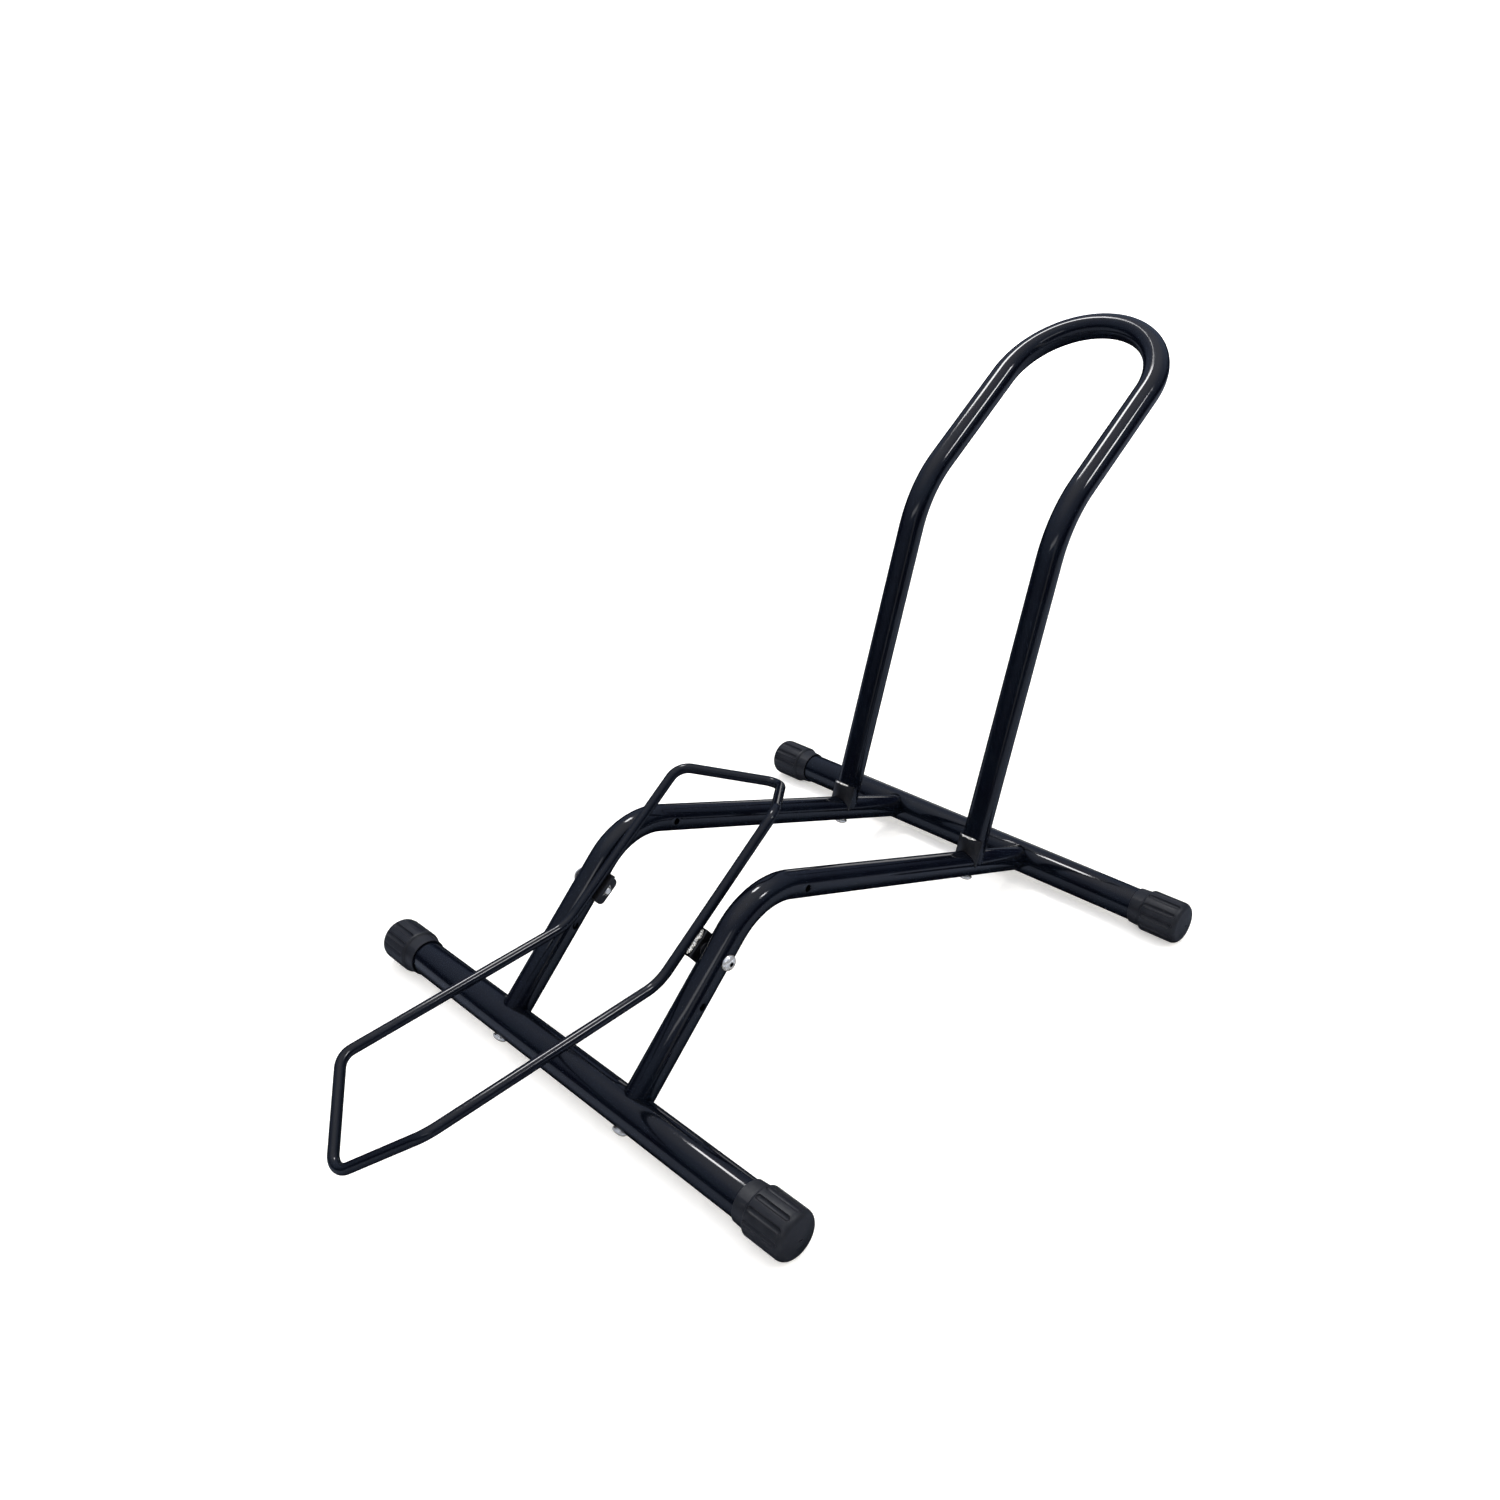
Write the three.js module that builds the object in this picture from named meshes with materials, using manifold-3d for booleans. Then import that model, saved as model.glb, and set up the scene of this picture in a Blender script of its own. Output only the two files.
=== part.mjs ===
// Floor bike rack: two cross tubes on rubber caps, two bent side tubes bolted between them,
// a tall wheel hoop bolted on the side tubes, and a wire cradle that rocks on two pivot bolts.
// Millimetres, +Z up. The wheel rolls in from -Y; +X is the right side. The floor is z = 0.

import * as THREE from 'three';
import { mergeVertices } from 'three/addons/utils/BufferGeometryUtils.js';
import Module from 'manifold-3d';

const wasm = await Module();
wasm.setup();

// Base tubes, running across the rack. Each is a size up from the side tubes that end inside it.
const BASE_OVERSIZE = 7;
const BASE_WALL = 1.5;
const BASE_LENGTH = 524;
const BASE_SPACING = 525;

// Side tubes, bent once between the base tubes
const TUBE_DIAMETER = 25;
const TUBE_WALL = 1.5;
const SIDE_TUBE_SPACING = 164;
const SIDE_BEND_FORWARD = 142;
const SIDE_BEND_RISE = 140;
const SIDE_BEND_RADIUS = 64;

// Wheel hoop, standing on the top runs of the side tubes
const HOOP_FOOT_FROM_REAR = 100;
const HOOP_LEAN = 19.4;
const HOOP_LEG_LENGTH = 340;
const HOOP_UPPER_LEAN = 54.9;
const HOOP_UPPER_LENGTH = 160;
const HOOP_BEND_RADIUS = 125;
const GUSSET_WALL = 2.4;
const GUSSET_HEIGHT = 27;
const GUSSET_HALF_ANGLE = 62;

// Rocking wire cradle, in its own frame: u runs up along the rear run, v stands off it
const WIRE_DIAMETER = 9;
const WIRE_TO_SIDE_TUBE = 5;
const PIVOT_FROM_FRONT = 137.5;
const ROCKER_SLOPE = 37.1;
const REAR_RUN_BEHIND_PIVOT = 124;
const REAR_RUN_AHEAD_OF_PIVOT = 43.5;
const FRONT_RUN_LENGTH = 213.8;
const FRONT_RUN_KINK = 33.6;
const FRONT_VEE_DEPTH = 65.4;
const FRONT_VEE_DROP = 5.9;
const REAR_VEE_DEPTH = 71.5;
const REAR_VEE_DROP = 54.8;
const SIDE_KINK_RADIUS = 43;
const FRONT_CORNER_RADIUS = 18;
const FRONT_APEX_RADIUS = 14;
const REAR_CORNER_RADIUS = 20;
const REAR_APEX_RADIUS = 12.5;

// Rocker brackets: an angle whose top flange is welded under the wire
const BRACKET_WIDTH = 26;
const BRACKET_PLATE = 3;
const BRACKET_BELOW_PIVOT = 12;
const BRACKET_CORNER_RADIUS = 5;
const BRACKET_PAST_WIRE_CENTRE = 7.5;
const NUT_TO_FLANGE = 1.2;

// Fasteners
const PIVOT_BOLT_DIAMETER = 6;
const PIVOT_HEAD_DIAMETER = 13.6;
const PIVOT_HEAD_HEIGHT = 4.2;
const PIVOT_SOCKET = 4;
const PIVOT_NUT_FLATS = 10;
const PIVOT_NUT_HEIGHT = 6;
const NUT_HEXAGON_SHARE = 0.72;
const NUT_COLLAR_SHARE = 0.92;
const PIVOT_BOLT_PROUD = 1.6;
const PIVOT_WASHER_BAND = 3;
const PIVOT_WASHER_THICKNESS = 1.6;
const SPARE_HOLE_STEP = 40;
const SPARE_HOLE_PAST_BEND = 51.6;
const FRAME_BOLT_DIAMETER = 8;
const FRAME_HEAD_DIAMETER = 12.8;
const FRAME_HEAD_HEIGHT = 3.8;
const FRAME_SOCKET = 5;
const FRAME_BOLT_PROUD = 1;
const HOOP_BOLT_PROUD = 5;
const PLUG_LENGTH = 14;
const NUT_DISC_THICKNESS = 5;

// Rubber end caps, pushed over the ends of the base tubes
const CAP_LENGTH = 52;
const CAP_PAST_TUBE = 4;
const CAP_BODY_WALL = 4;
const CAP_COLLAR_LENGTH = 12;
const CAP_COLLAR_WALL = 1.8;
const CAP_LIP_WALL = 1.1;
const CAP_STEP_LENGTH = 0.5;
const CAP_EDGE_RADIUS = 6;
const CAP_EDGE_STEPS = 2;
const CAP_CROWN = 2;
const CAP_FLUTES = 12;
const CAP_FLUTE_RADIUS = 2.7;
const CAP_FLUTE_DEPTH = 1.9;
const CAP_FLUTE_MARGIN = 3;
const CAP_DIMPLE_RADIUS = 1.4;
const CAP_DIMPLE_DEPTH = 1.2;

// Shape of a button head, the same for every bolt
const BRIM_SHARE = 0.2;
const DOME_ANGLE = Math.PI * 0.36;
const DOME_STEPS = 3;
const SOCKET_FLOOR_SHARE = 0.4;
const BOLT_CHAMFER = 0.5;

// Clearances between pieces that touch on the real rack
const SEAT_GAP = 0.3;
const HOLE_CLEARANCE = 0.3;
const CUT_MARGIN = 5;

// Facets: points round each section, and rings round each bend
const BASE_SIDES = 20;
const TUBE_SIDES = 16;
const WIRE_SIDES = 10;
const BOLT_SIDES = 12;
const DEGREES_PER_RING = 15;

const X_AXIS = new THREE.Vector3(1, 0, 0);
const Y_AXIS = new THREE.Vector3(0, 1, 0);
const radians = THREE.MathUtils.degToRad;

const tubeRadius = TUBE_DIAMETER / 2;
const baseRadius = (TUBE_DIAMETER + BASE_OVERSIZE) / 2;
const wireRadius = WIRE_DIAMETER / 2;
const sideX = SIDE_TUBE_SPACING / 2;
const wireX = sideX - tubeRadius - WIRE_TO_SIDE_TUBE - wireRadius;
const capBore = baseRadius + SEAT_GAP;
const capRadius = capBore + CAP_BODY_WALL;
const baseZ = capRadius;

function finish(color, roughness, metalness) {
  return new THREE.MeshStandardMaterial({ color, roughness, metalness });
}
const blackPowderCoat = () => finish(0x14161c, 0.28, 0.1);
const charcoalRubber = () => finish(0x2b2c2f, 0.75, 0);
const brightZinc = () => finish(0xb9bcbc, 0.3, 1);
const blackNylon = () => finish(0x1d1e20, 0.5, 0);

// A closed solid from a geometry: shared corners merged, triangles without area dropped.
function solid(geometry) {
  const bare = geometry.clone();
  bare.deleteAttribute('normal');
  bare.deleteAttribute('uv');
  const merged = mergeVertices(bare, 1e-3);
  const corners = [];
  for (let i = 0; i < merged.index.count; i += 3) {
    const [a, b, c] = [0, 1, 2].map((k) => merged.index.getX(i + k));
    if (a !== b && b !== c && c !== a) corners.push(a, b, c);
  }
  return new wasm.Manifold(new wasm.Mesh({
    numProp: 3,
    vertProperties: new Float32Array(merged.attributes.position.array),
    triVerts: new Uint32Array(corners),
  }));
}

function geometryOf(body) {
  const mesh = body.getMesh();
  const geometry = new THREE.BufferGeometry();
  geometry.setAttribute('position', new THREE.BufferAttribute(new Float32Array(mesh.vertProperties), 3));
  geometry.setIndex(new THREE.BufferAttribute(new Uint32Array(mesh.triVerts), 1));
  geometry.computeVertexNormals();
  return geometry;
}

// A straight cylinder from one point to another.
function rod(radius, from, to, sides = BOLT_SIDES) {
  const along = to.clone().sub(from);
  const geometry = new THREE.CylinderGeometry(radius, radius, along.length(), sides);
  const turn = new THREE.Quaternion().setFromUnitVectors(Y_AXIS, along.clone().normalize());
  geometry.applyQuaternion(turn);
  geometry.translate(...from.clone().add(to).multiplyScalar(0.5).toArray());
  return solid(geometry);
}

// A bent centre line: straight runs joined by round bends, with a ring at each end of a run
// and rings at an even angle round each bend.
class BentPath extends THREE.Curve {
  constructor(corners, closed = false) {
    super();
    this.stations = [];
    const count = corners.length;
    corners.forEach((corner, i) => {
      const isEnd = !closed && (i === 0 || i === count - 1);
      if (isEnd) {
        const next = i === 0 ? corners[1] : corners[count - 2];
        const tangent = next.point.clone().sub(corner.point).normalize();
        this.stations.push({ point: corner.point, tangent: i === 0 ? tangent : tangent.negate() });
      } else {
        const before = corners[(i + count - 1) % count].point;
        const after = corners[(i + 1) % count].point;
        this.addBend(before, corner, after);
      }
    });
    if (closed) this.stations.push(this.stations[0]);
  }

  addBend(before, corner, after) {
    const arrive = corner.point.clone().sub(before).normalize();
    const leave = after.clone().sub(corner.point).normalize();
    const angle = arrive.angleTo(leave);
    const reach = corner.radius * Math.tan(angle / 2);
    const start = corner.point.clone().addScaledVector(arrive, -reach);
    const inward = leave.clone().addScaledVector(arrive, -Math.cos(angle)).normalize();
    const rings = Math.ceil(THREE.MathUtils.radToDeg(angle) / DEGREES_PER_RING);
    for (let k = 0; k <= rings; k += 1) {
      const turned = (angle * k) / rings;
      const point = start.clone().addScaledVector(arrive, corner.radius * Math.sin(turned));
      point.addScaledVector(inward, corner.radius * (1 - Math.cos(turned)));
      const tangent = arrive.clone().multiplyScalar(Math.cos(turned));
      tangent.addScaledVector(inward, Math.sin(turned));
      this.stations.push({ point, tangent });
    }
  }

  stationAt(u) {
    return this.stations[Math.round(u * (this.stations.length - 1))];
  }

  getPointAt(u, target = new THREE.Vector3()) {
    return target.copy(this.stationAt(u).point);
  }

  getTangentAt(u, target = new THREE.Vector3()) {
    return target.copy(this.stationAt(u).tangent);
  }
}

function discShape(radius) {
  return new THREE.Shape().absarc(0, 0, radius, 0, 2 * Math.PI);
}

function sweep(path, radius, sides) {
  return new THREE.ExtrudeGeometry(discShape(radius), {
    extrudePath: path,
    steps: path.stations.length - 1,
    curveSegments: sides / 2,
  });
}

// A bent tube with an open bore: the bore runs past both ends.
function bentTube(corners, radius, wall, sides) {
  const longer = corners.map((corner) => ({ ...corner }));
  const stretch = (end, next) => {
    const away = end.point.clone().sub(next.point).normalize();
    return { point: end.point.clone().addScaledVector(away, 1) };
  };
  const last = longer.length - 1;
  longer[0] = stretch(corners[0], corners[1]);
  longer[last] = stretch(corners[last], corners[last - 1]);
  const outside = solid(sweep(new BentPath(corners), radius, sides));
  return outside.subtract(solid(sweep(new BentPath(longer), radius - wall, sides)));
}

// A closed ring of rod: the swept sides join up, so the two lids are left out.
function closedRod(corners, radius, sides) {
  const path = new BentPath(corners, true);
  const swept = sweep(path, radius, sides);
  const lids = swept.groups[0];
  const position = swept.attributes.position;
  const first = lids.start + lids.count;
  const wall = new THREE.BufferGeometry();
  const kept = position.array.slice(first * 3);
  wall.setAttribute('position', new THREE.BufferAttribute(kept, 3));
  return solid(wall);
}

// Points in the side plane: y runs back from the front base tube, z up from its centre line.
const point = (x, y, z) => new THREE.Vector3(x, y, z);

const frontCentre = point(0, 0, 0);
const rearCentre = point(0, BASE_SPACING, 0);
const bendCentre = point(0, SIDE_BEND_FORWARD, SIDE_BEND_RISE);
const frontRun = bendCentre.clone().normalize();
const topRun = bendCentre.clone().sub(rearCentre).normalize();

// A side tube ends inside the base tube, where its flat end still clears the bore.
const baseBoreFlat = (baseRadius - BASE_WALL) * Math.cos(Math.PI / BASE_SIDES);
const endPastCentre = Math.sqrt(baseBoreFlat ** 2 - tubeRadius ** 2) - 2 * SEAT_GAP;

const pivot = frontRun.clone().multiplyScalar(PIVOT_FROM_FRONT);
const spareHoles = [
  frontRun.clone().multiplyScalar(PIVOT_FROM_FRONT - SPARE_HOLE_STEP),
  bendCentre.clone().addScaledVector(topRun, -SPARE_HOLE_PAST_BEND),
];

// The hoop's centre line: two leaning legs, a bend to the flatter upper part, and a half-round top.
const leanAlong = (angle) => point(0, Math.sin(radians(angle)), Math.cos(radians(angle)));
const legAxis = leanAlong(HOOP_LEAN);
const upperAxis = leanAlong(HOOP_UPPER_LEAN);
const hoopFoot = rearCentre.clone().addScaledVector(topRun, HOOP_FOOT_FROM_REAR);
const hoopBend = hoopFoot.clone().addScaledVector(legAxis, HOOP_LEG_LENGTH);
const archTop = hoopBend.clone().addScaledVector(upperAxis, HOOP_UPPER_LENGTH + sideX);

const rack = new THREE.Group();
const frame = new THREE.Group();
frame.position.z = baseZ;
rack.add(frame);

function addPiece(parent, name, body, material) {
  const mesh = new THREE.Mesh(geometryOf(body), material);
  mesh.name = name;
  parent.add(mesh);
  return mesh;
}

const sides = [
  { side: 'left', sign: -1 },
  { side: 'right', sign: 1 },
];
const ends = [
  { end: 'front', centre: frontCentre, run: frontRun },
  { end: 'rear', centre: rearCentre, run: topRun },
];

// Base tubes: open-ended, each with two holes that take the side tubes and two bolt holes behind them.
function baseTube({ centre, run }) {
  const half = BASE_LENGTH / 2;
  const left = centre.clone().addScaledVector(X_AXIS, -half);
  const right = centre.clone().addScaledVector(X_AXIS, half);
  let tube = bentTube([{ point: left }, { point: right }], baseRadius, BASE_WALL, BASE_SIDES);
  for (const { sign } of sides) {
    const seat = centre.clone().addScaledVector(X_AXIS, sign * sideX);
    const above = seat.clone().addScaledVector(run, baseRadius + CUT_MARGIN);
    const below = seat.clone().addScaledVector(run, -baseRadius - CUT_MARGIN);
    tube = tube.subtract(rod(tubeRadius + HOLE_CLEARANCE, seat, above, TUBE_SIDES));
    tube = tube.subtract(rod(FRAME_BOLT_DIAMETER / 2 + HOLE_CLEARANCE, seat, below));
  }
  return tube;
}

for (const place of ends) {
  addPiece(frame, `${place.end}_base_tube`, baseTube(place), blackPowderCoat());
}

// Side tubes: one bend, three pivot positions across the tube, and a hole for the hoop bolt.
function sideTube(x) {
  const at = (spot) => spot.clone().setX(x);
  const start = at(frontCentre.clone().addScaledVector(frontRun, -endPastCentre));
  const finish = at(rearCentre.clone().addScaledVector(topRun, -endPastCentre));
  const corners = [
    { point: start },
    { point: at(bendCentre), radius: SIDE_BEND_RADIUS },
    { point: finish },
  ];
  let tube = bentTube(corners, tubeRadius, TUBE_WALL, TUBE_SIDES);
  const across = tubeRadius + CUT_MARGIN;
  for (const hole of [pivot, ...spareHoles]) {
    const inner = hole.clone().setX(x - across);
    const outer = hole.clone().setX(x + across);
    tube = tube.subtract(rod(PIVOT_BOLT_DIAMETER / 2 + HOLE_CLEARANCE, inner, outer));
  }
  const below = at(hoopFoot).addScaledVector(legAxis, -across);
  const above = at(hoopFoot).addScaledVector(legAxis, across);
  return tube.subtract(rod(FRAME_BOLT_DIAMETER / 2 + HOLE_CLEARANCE, below, above));
}

for (const { side, sign } of sides) {
  addPiece(frame, `side_tube_${side}`, sideTube(sign * sideX), blackPowderCoat());
}

// The cope that lets a hoop leg sit astride its side tube.
function cope(x) {
  const reach = 4 * tubeRadius;
  const front = hoopFoot.clone().addScaledVector(topRun, reach).setX(x);
  const back = hoopFoot.clone().addScaledVector(topRun, -reach).setX(x);
  return rod(tubeRadius + SEAT_GAP, front, back, 2 * TUBE_SIDES);
}

function wheelHoop() {
  const corners = [
    { point: hoopFoot.clone().setX(-sideX) },
    { point: hoopBend.clone().setX(-sideX), radius: HOOP_BEND_RADIUS },
    { point: archTop.clone().setX(-sideX), radius: sideX },
    { point: archTop.clone().setX(sideX), radius: sideX },
    { point: hoopBend.clone().setX(sideX), radius: HOOP_BEND_RADIUS },
    { point: hoopFoot.clone().setX(sideX) },
  ];
  const tube = bentTube(corners, tubeRadius, TUBE_WALL, TUBE_SIDES);
  return tube.subtract(cope(-sideX)).subtract(cope(sideX));
}
addPiece(frame, 'wheel_hoop', wheelHoop(), blackPowderCoat());

// Half-shell gussets, welded round the front of each hoop leg down to the side tube.
function gusset(x) {
  const inner = tubeRadius + SEAT_GAP;
  const outer = inner + GUSSET_WALL;
  const half = radians(GUSSET_HALF_ANGLE);
  const front = -Math.PI / 2;
  const shape = new THREE.Shape();
  shape.absarc(0, 0, outer, front - half, front + half, false);
  shape.absarc(0, 0, inner, front + half, front - half, true);
  const geometry = new THREE.ExtrudeGeometry(shape, {
    depth: GUSSET_HEIGHT,
    steps: 1,
    curveSegments: TUBE_SIDES / 4,
    bevelEnabled: false,
  });
  geometry.rotateX(-radians(HOOP_LEAN));
  geometry.translate(x, hoopFoot.y, hoopFoot.z);
  return solid(geometry).subtract(cope(x));
}
for (const { side, sign } of sides) {
  addPiece(frame, `hoop_gusset_${side}`, gusset(sign * sideX), blackPowderCoat());
}

// A turned ring or disc with a hole, standing along an axis from a given point.
function ring(outer, inner, thickness, base, axis, roundSides = BOLT_SIDES) {
  const top = base.clone().addScaledVector(axis, thickness);
  const below = base.clone().addScaledVector(axis, -CUT_MARGIN);
  const above = top.clone().addScaledVector(axis, CUT_MARGIN);
  return rod(outer, base, top, roundSides).subtract(rod(inner, below, above));
}

// Threaded pieces fixed inside the tube ends, which the frame bolts pull against.
const boreFit = tubeRadius - TUBE_WALL - SEAT_GAP;
const threadFit = FRAME_BOLT_DIAMETER / 2 + HOLE_CLEARANCE;
for (const { end, centre, run } of ends) {
  for (const { side, sign } of sides) {
    const base = centre.clone().addScaledVector(run, -endPastCentre).setX(sign * sideX);
    const plug = ring(boreFit, threadFit, PLUG_LENGTH, base, run, TUBE_SIDES);
    addPiece(frame, `tube_plug_${end}_${side}`, plug, brightZinc());
  }
}
for (const { side, sign } of sides) {
  const base = hoopFoot.clone().addScaledVector(legAxis, GUSSET_HEIGHT - NUT_DISC_THICKNESS);
  const disc = ring(boreFit, threadFit, NUT_DISC_THICKNESS, base.setX(sign * sideX), legAxis, TUBE_SIDES);
  addPiece(frame, `hoop_nut_disc_${side}`, disc, brightZinc());
}

// A button-head bolt with a hexagon socket. The underside of its head is at y = 0, the shank below.
// Above a thin brim the head is a quarter of an ellipse, down to the flat round the socket.
function buttonBolt({ diameter, headDiameter, headHeight, socket }, length) {
  const shank = diameter / 2;
  const head = headDiameter / 2;
  const brim = headHeight * BRIM_SHARE;
  const profile = [
    [0, -length],
    [shank - BOLT_CHAMFER, -length],
    [shank, -length + BOLT_CHAMFER],
    [shank, 0],
    [head, 0],
  ];
  for (let k = 0; k <= DOME_STEPS; k += 1) {
    const turned = (DOME_ANGLE * k) / DOME_STEPS;
    profile.push([head * Math.cos(turned), brim + (headHeight - brim) * Math.sin(turned)]);
  }
  const top = profile.at(-1)[1];
  profile.push([0, top]);
  const lathe = new THREE.LatheGeometry(profile.map(([r, y]) => new THREE.Vector2(r, y)), BOLT_SIDES);
  const keyRadius = socket / Math.sqrt(3);
  const key = rod(keyRadius, point(0, headHeight * SOCKET_FLOOR_SHARE, 0), point(0, 2 * headHeight, 0), 6);
  return solid(lathe).subtract(key);
}

// Places a bolt with its head's underside at a spot and its shank along a direction.
function addBolt(name, body, spot, shankAlong) {
  const bolt = addPiece(frame, name, body, brightZinc());
  bolt.quaternion.setFromUnitVectors(Y_AXIS, shankAlong.clone().negate());
  bolt.position.copy(spot);
}

const frameBoltSize = {
  diameter: FRAME_BOLT_DIAMETER,
  headDiameter: FRAME_HEAD_DIAMETER,
  headHeight: FRAME_HEAD_HEIGHT,
  socket: FRAME_SOCKET,
};
const pivotBoltSize = {
  diameter: PIVOT_BOLT_DIAMETER,
  headDiameter: PIVOT_HEAD_DIAMETER,
  headHeight: PIVOT_HEAD_HEIGHT,
  socket: PIVOT_SOCKET,
};
const baseHeadSeat = baseRadius + SEAT_GAP;
const frameBoltLength = baseHeadSeat - endPastCentre + PLUG_LENGTH + FRAME_BOLT_PROUD;
for (const { end, centre, run } of ends) {
  for (const { side, sign } of sides) {
    const spot = centre.clone().addScaledVector(run, -baseHeadSeat).setX(sign * sideX);
    addBolt(`frame_bolt_${end}_${side}`, buttonBolt(frameBoltSize, frameBoltLength), spot, run);
  }
}
const hoopHeadSeat = tubeRadius + SEAT_GAP;
const hoopBoltLength = hoopHeadSeat + GUSSET_HEIGHT + HOOP_BOLT_PROUD;
for (const { side, sign } of sides) {
  const spot = hoopFoot.clone().addScaledVector(legAxis, -hoopHeadSeat).setX(sign * sideX);
  addBolt(`hoop_bolt_${side}`, buttonBolt(frameBoltSize, hoopBoltLength), spot, legAxis);
}

// Pivot stack on each side, from the outside in: head, side tube, washer, bracket, locknut.
const washerOuterX = sideX - tubeRadius - SEAT_GAP;
const washerInnerX = washerOuterX - PIVOT_WASHER_THICKNESS;
const bracketOuterX = washerInnerX - SEAT_GAP;
const bracketInnerX = bracketOuterX - BRACKET_PLATE;
const nutOuterX = bracketInnerX - SEAT_GAP;
const nutInnerX = nutOuterX - PIVOT_NUT_HEIGHT;
const headX = sideX + tubeRadius + SEAT_GAP;
const pivotBore = PIVOT_BOLT_DIAMETER / 2 + HOLE_CLEARANCE;
const nutCorner = PIVOT_NUT_FLATS / Math.sqrt(3);
const flangeTop = nutCorner + NUT_TO_FLANGE + BRACKET_PLATE;
const pivotBelowWire = flangeTop + SEAT_GAP + wireRadius;

// A nylon-insert locknut: a hexagon with a rounded, narrower collar over the insert.
function lockNut(sign) {
  const outward = X_AXIS.clone().multiplyScalar(sign);
  const hexHeight = PIVOT_NUT_HEIGHT * NUT_HEXAGON_SHARE;
  const collar = (PIVOT_NUT_FLATS / 2) * NUT_COLLAR_SHARE;
  const seat = pivot.clone().setX(sign * nutOuterX);
  const shoulder = pivot.clone().setX(sign * (nutOuterX - hexHeight));
  const tip = pivot.clone().setX(sign * nutInnerX);
  const hexagon = rod(nutCorner, seat, shoulder, 6);
  const beyond = tip.clone().addScaledVector(outward, -CUT_MARGIN);
  const bore = rod(pivotBore, seat.clone().addScaledVector(outward, CUT_MARGIN), beyond);
  const inside = shoulder.clone().addScaledVector(outward, 1);
  return hexagon.add(rod(collar, inside, tip)).subtract(bore);
}

for (const { side, sign } of sides) {
  const outward = X_AXIS.clone().multiplyScalar(sign);
  const boltLength = headX - nutInnerX + PIVOT_BOLT_PROUD;
  const bolt = buttonBolt(pivotBoltSize, boltLength);
  addBolt(`pivot_bolt_${side}`, bolt, pivot.clone().setX(sign * headX), outward.clone().negate());
  const washerBase = pivot.clone().setX(sign * washerInnerX);
  const washerRadius = PIVOT_BOLT_DIAMETER / 2 + PIVOT_WASHER_BAND;
  const washer = ring(washerRadius, pivotBore, PIVOT_WASHER_THICKNESS, washerBase, outward);
  addPiece(frame, `pivot_washer_${side}`, washer, blackNylon());
  addPiece(frame, `pivot_nut_${side}`, lockNut(sign), brightZinc());
}

// The rocker turns about the pivot. In its own frame +Y is u, up along the rear run, and +Z is v.
const rocker = new THREE.Group();
rocker.position.copy(pivot);
rocker.rotation.x = radians(ROCKER_SLOPE);
frame.add(rocker);

// The cradle: one rod bent to a closed loop, with a vee at each end that centres the tyre.
function rockerWire() {
  const step = (from, length, angle) => ({
    u: from.u + length * Math.cos(radians(angle)),
    v: from.v + length * Math.sin(radians(angle)),
  });
  const kink = { u: -REAR_RUN_AHEAD_OF_PIVOT, v: pivotBelowWire };
  const rearCorner = { u: REAR_RUN_BEHIND_PIVOT, v: pivotBelowWire };
  const frontCorner = step(kink, -FRONT_RUN_LENGTH, -FRONT_RUN_KINK);
  const frontApex = step(frontCorner, -FRONT_VEE_DEPTH, FRONT_VEE_DROP);
  const rearApex = step(rearCorner, REAR_VEE_DEPTH, -REAR_VEE_DROP);
  const corner = (x, spot, radius) => ({ point: point(x, spot.u, spot.v), radius });
  const loop = [
    corner(-wireX, kink, SIDE_KINK_RADIUS),
    corner(-wireX, frontCorner, FRONT_CORNER_RADIUS),
    corner(0, frontApex, FRONT_APEX_RADIUS),
    corner(wireX, frontCorner, FRONT_CORNER_RADIUS),
    corner(wireX, kink, SIDE_KINK_RADIUS),
    corner(wireX, rearCorner, REAR_CORNER_RADIUS),
    corner(0, rearApex, REAR_APEX_RADIUS),
    corner(-wireX, rearCorner, REAR_CORNER_RADIUS),
  ];
  return closedRod(loop, wireRadius, WIRE_SIDES);
}
addPiece(rocker, 'rocker_wire', rockerWire(), blackPowderCoat());

// A rocker bracket: upright flange on the pivot bolt, top flange turned in under the wire.
function rockerBracket(sign) {
  const top = flangeTop;
  const half = BRACKET_WIDTH / 2;
  const round = BRACKET_CORNER_RADIUS;
  const bottom = -BRACKET_BELOW_PIVOT;
  const outline = new THREE.Shape();
  outline.moveTo(-half, top);
  outline.lineTo(-half, bottom + round);
  outline.absarc(-half + round, bottom + round, round, Math.PI, 1.5 * Math.PI, false);
  outline.lineTo(half - round, bottom);
  outline.absarc(half - round, bottom + round, round, 1.5 * Math.PI, 2 * Math.PI, false);
  outline.lineTo(half, top);
  const upright = new THREE.ExtrudeGeometry(outline, {
    depth: BRACKET_PLATE,
    steps: 1,
    curveSegments: 5,
    bevelEnabled: false,
  });
  // The outline is drawn in u and v, so its depth is turned to run along X.
  upright.applyMatrix4(new THREE.Matrix4().makeBasis(Y_AXIS, point(0, 0, 1), X_AXIS));
  upright.translate(bracketInnerX, 0, 0);
  const inner = wireX - BRACKET_PAST_WIRE_CENTRE;
  const flangeWidth = bracketOuterX - inner;
  const flange = new THREE.BoxGeometry(flangeWidth, BRACKET_WIDTH, BRACKET_PLATE);
  flange.translate(inner + flangeWidth / 2, 0, top - BRACKET_PLATE / 2);
  const boreStart = point(bracketInnerX - CUT_MARGIN, 0, 0);
  const boreEnd = point(bracketOuterX + CUT_MARGIN, 0, 0);
  const right = solid(upright).add(solid(flange)).subtract(rod(pivotBore, boreStart, boreEnd));
  return sign > 0 ? right : right.mirror([1, 0, 0]);
}
for (const { side, sign } of sides) {
  addPiece(rocker, `rocker_bracket_${side}`, rockerBracket(sign), blackPowderCoat());
}

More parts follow.
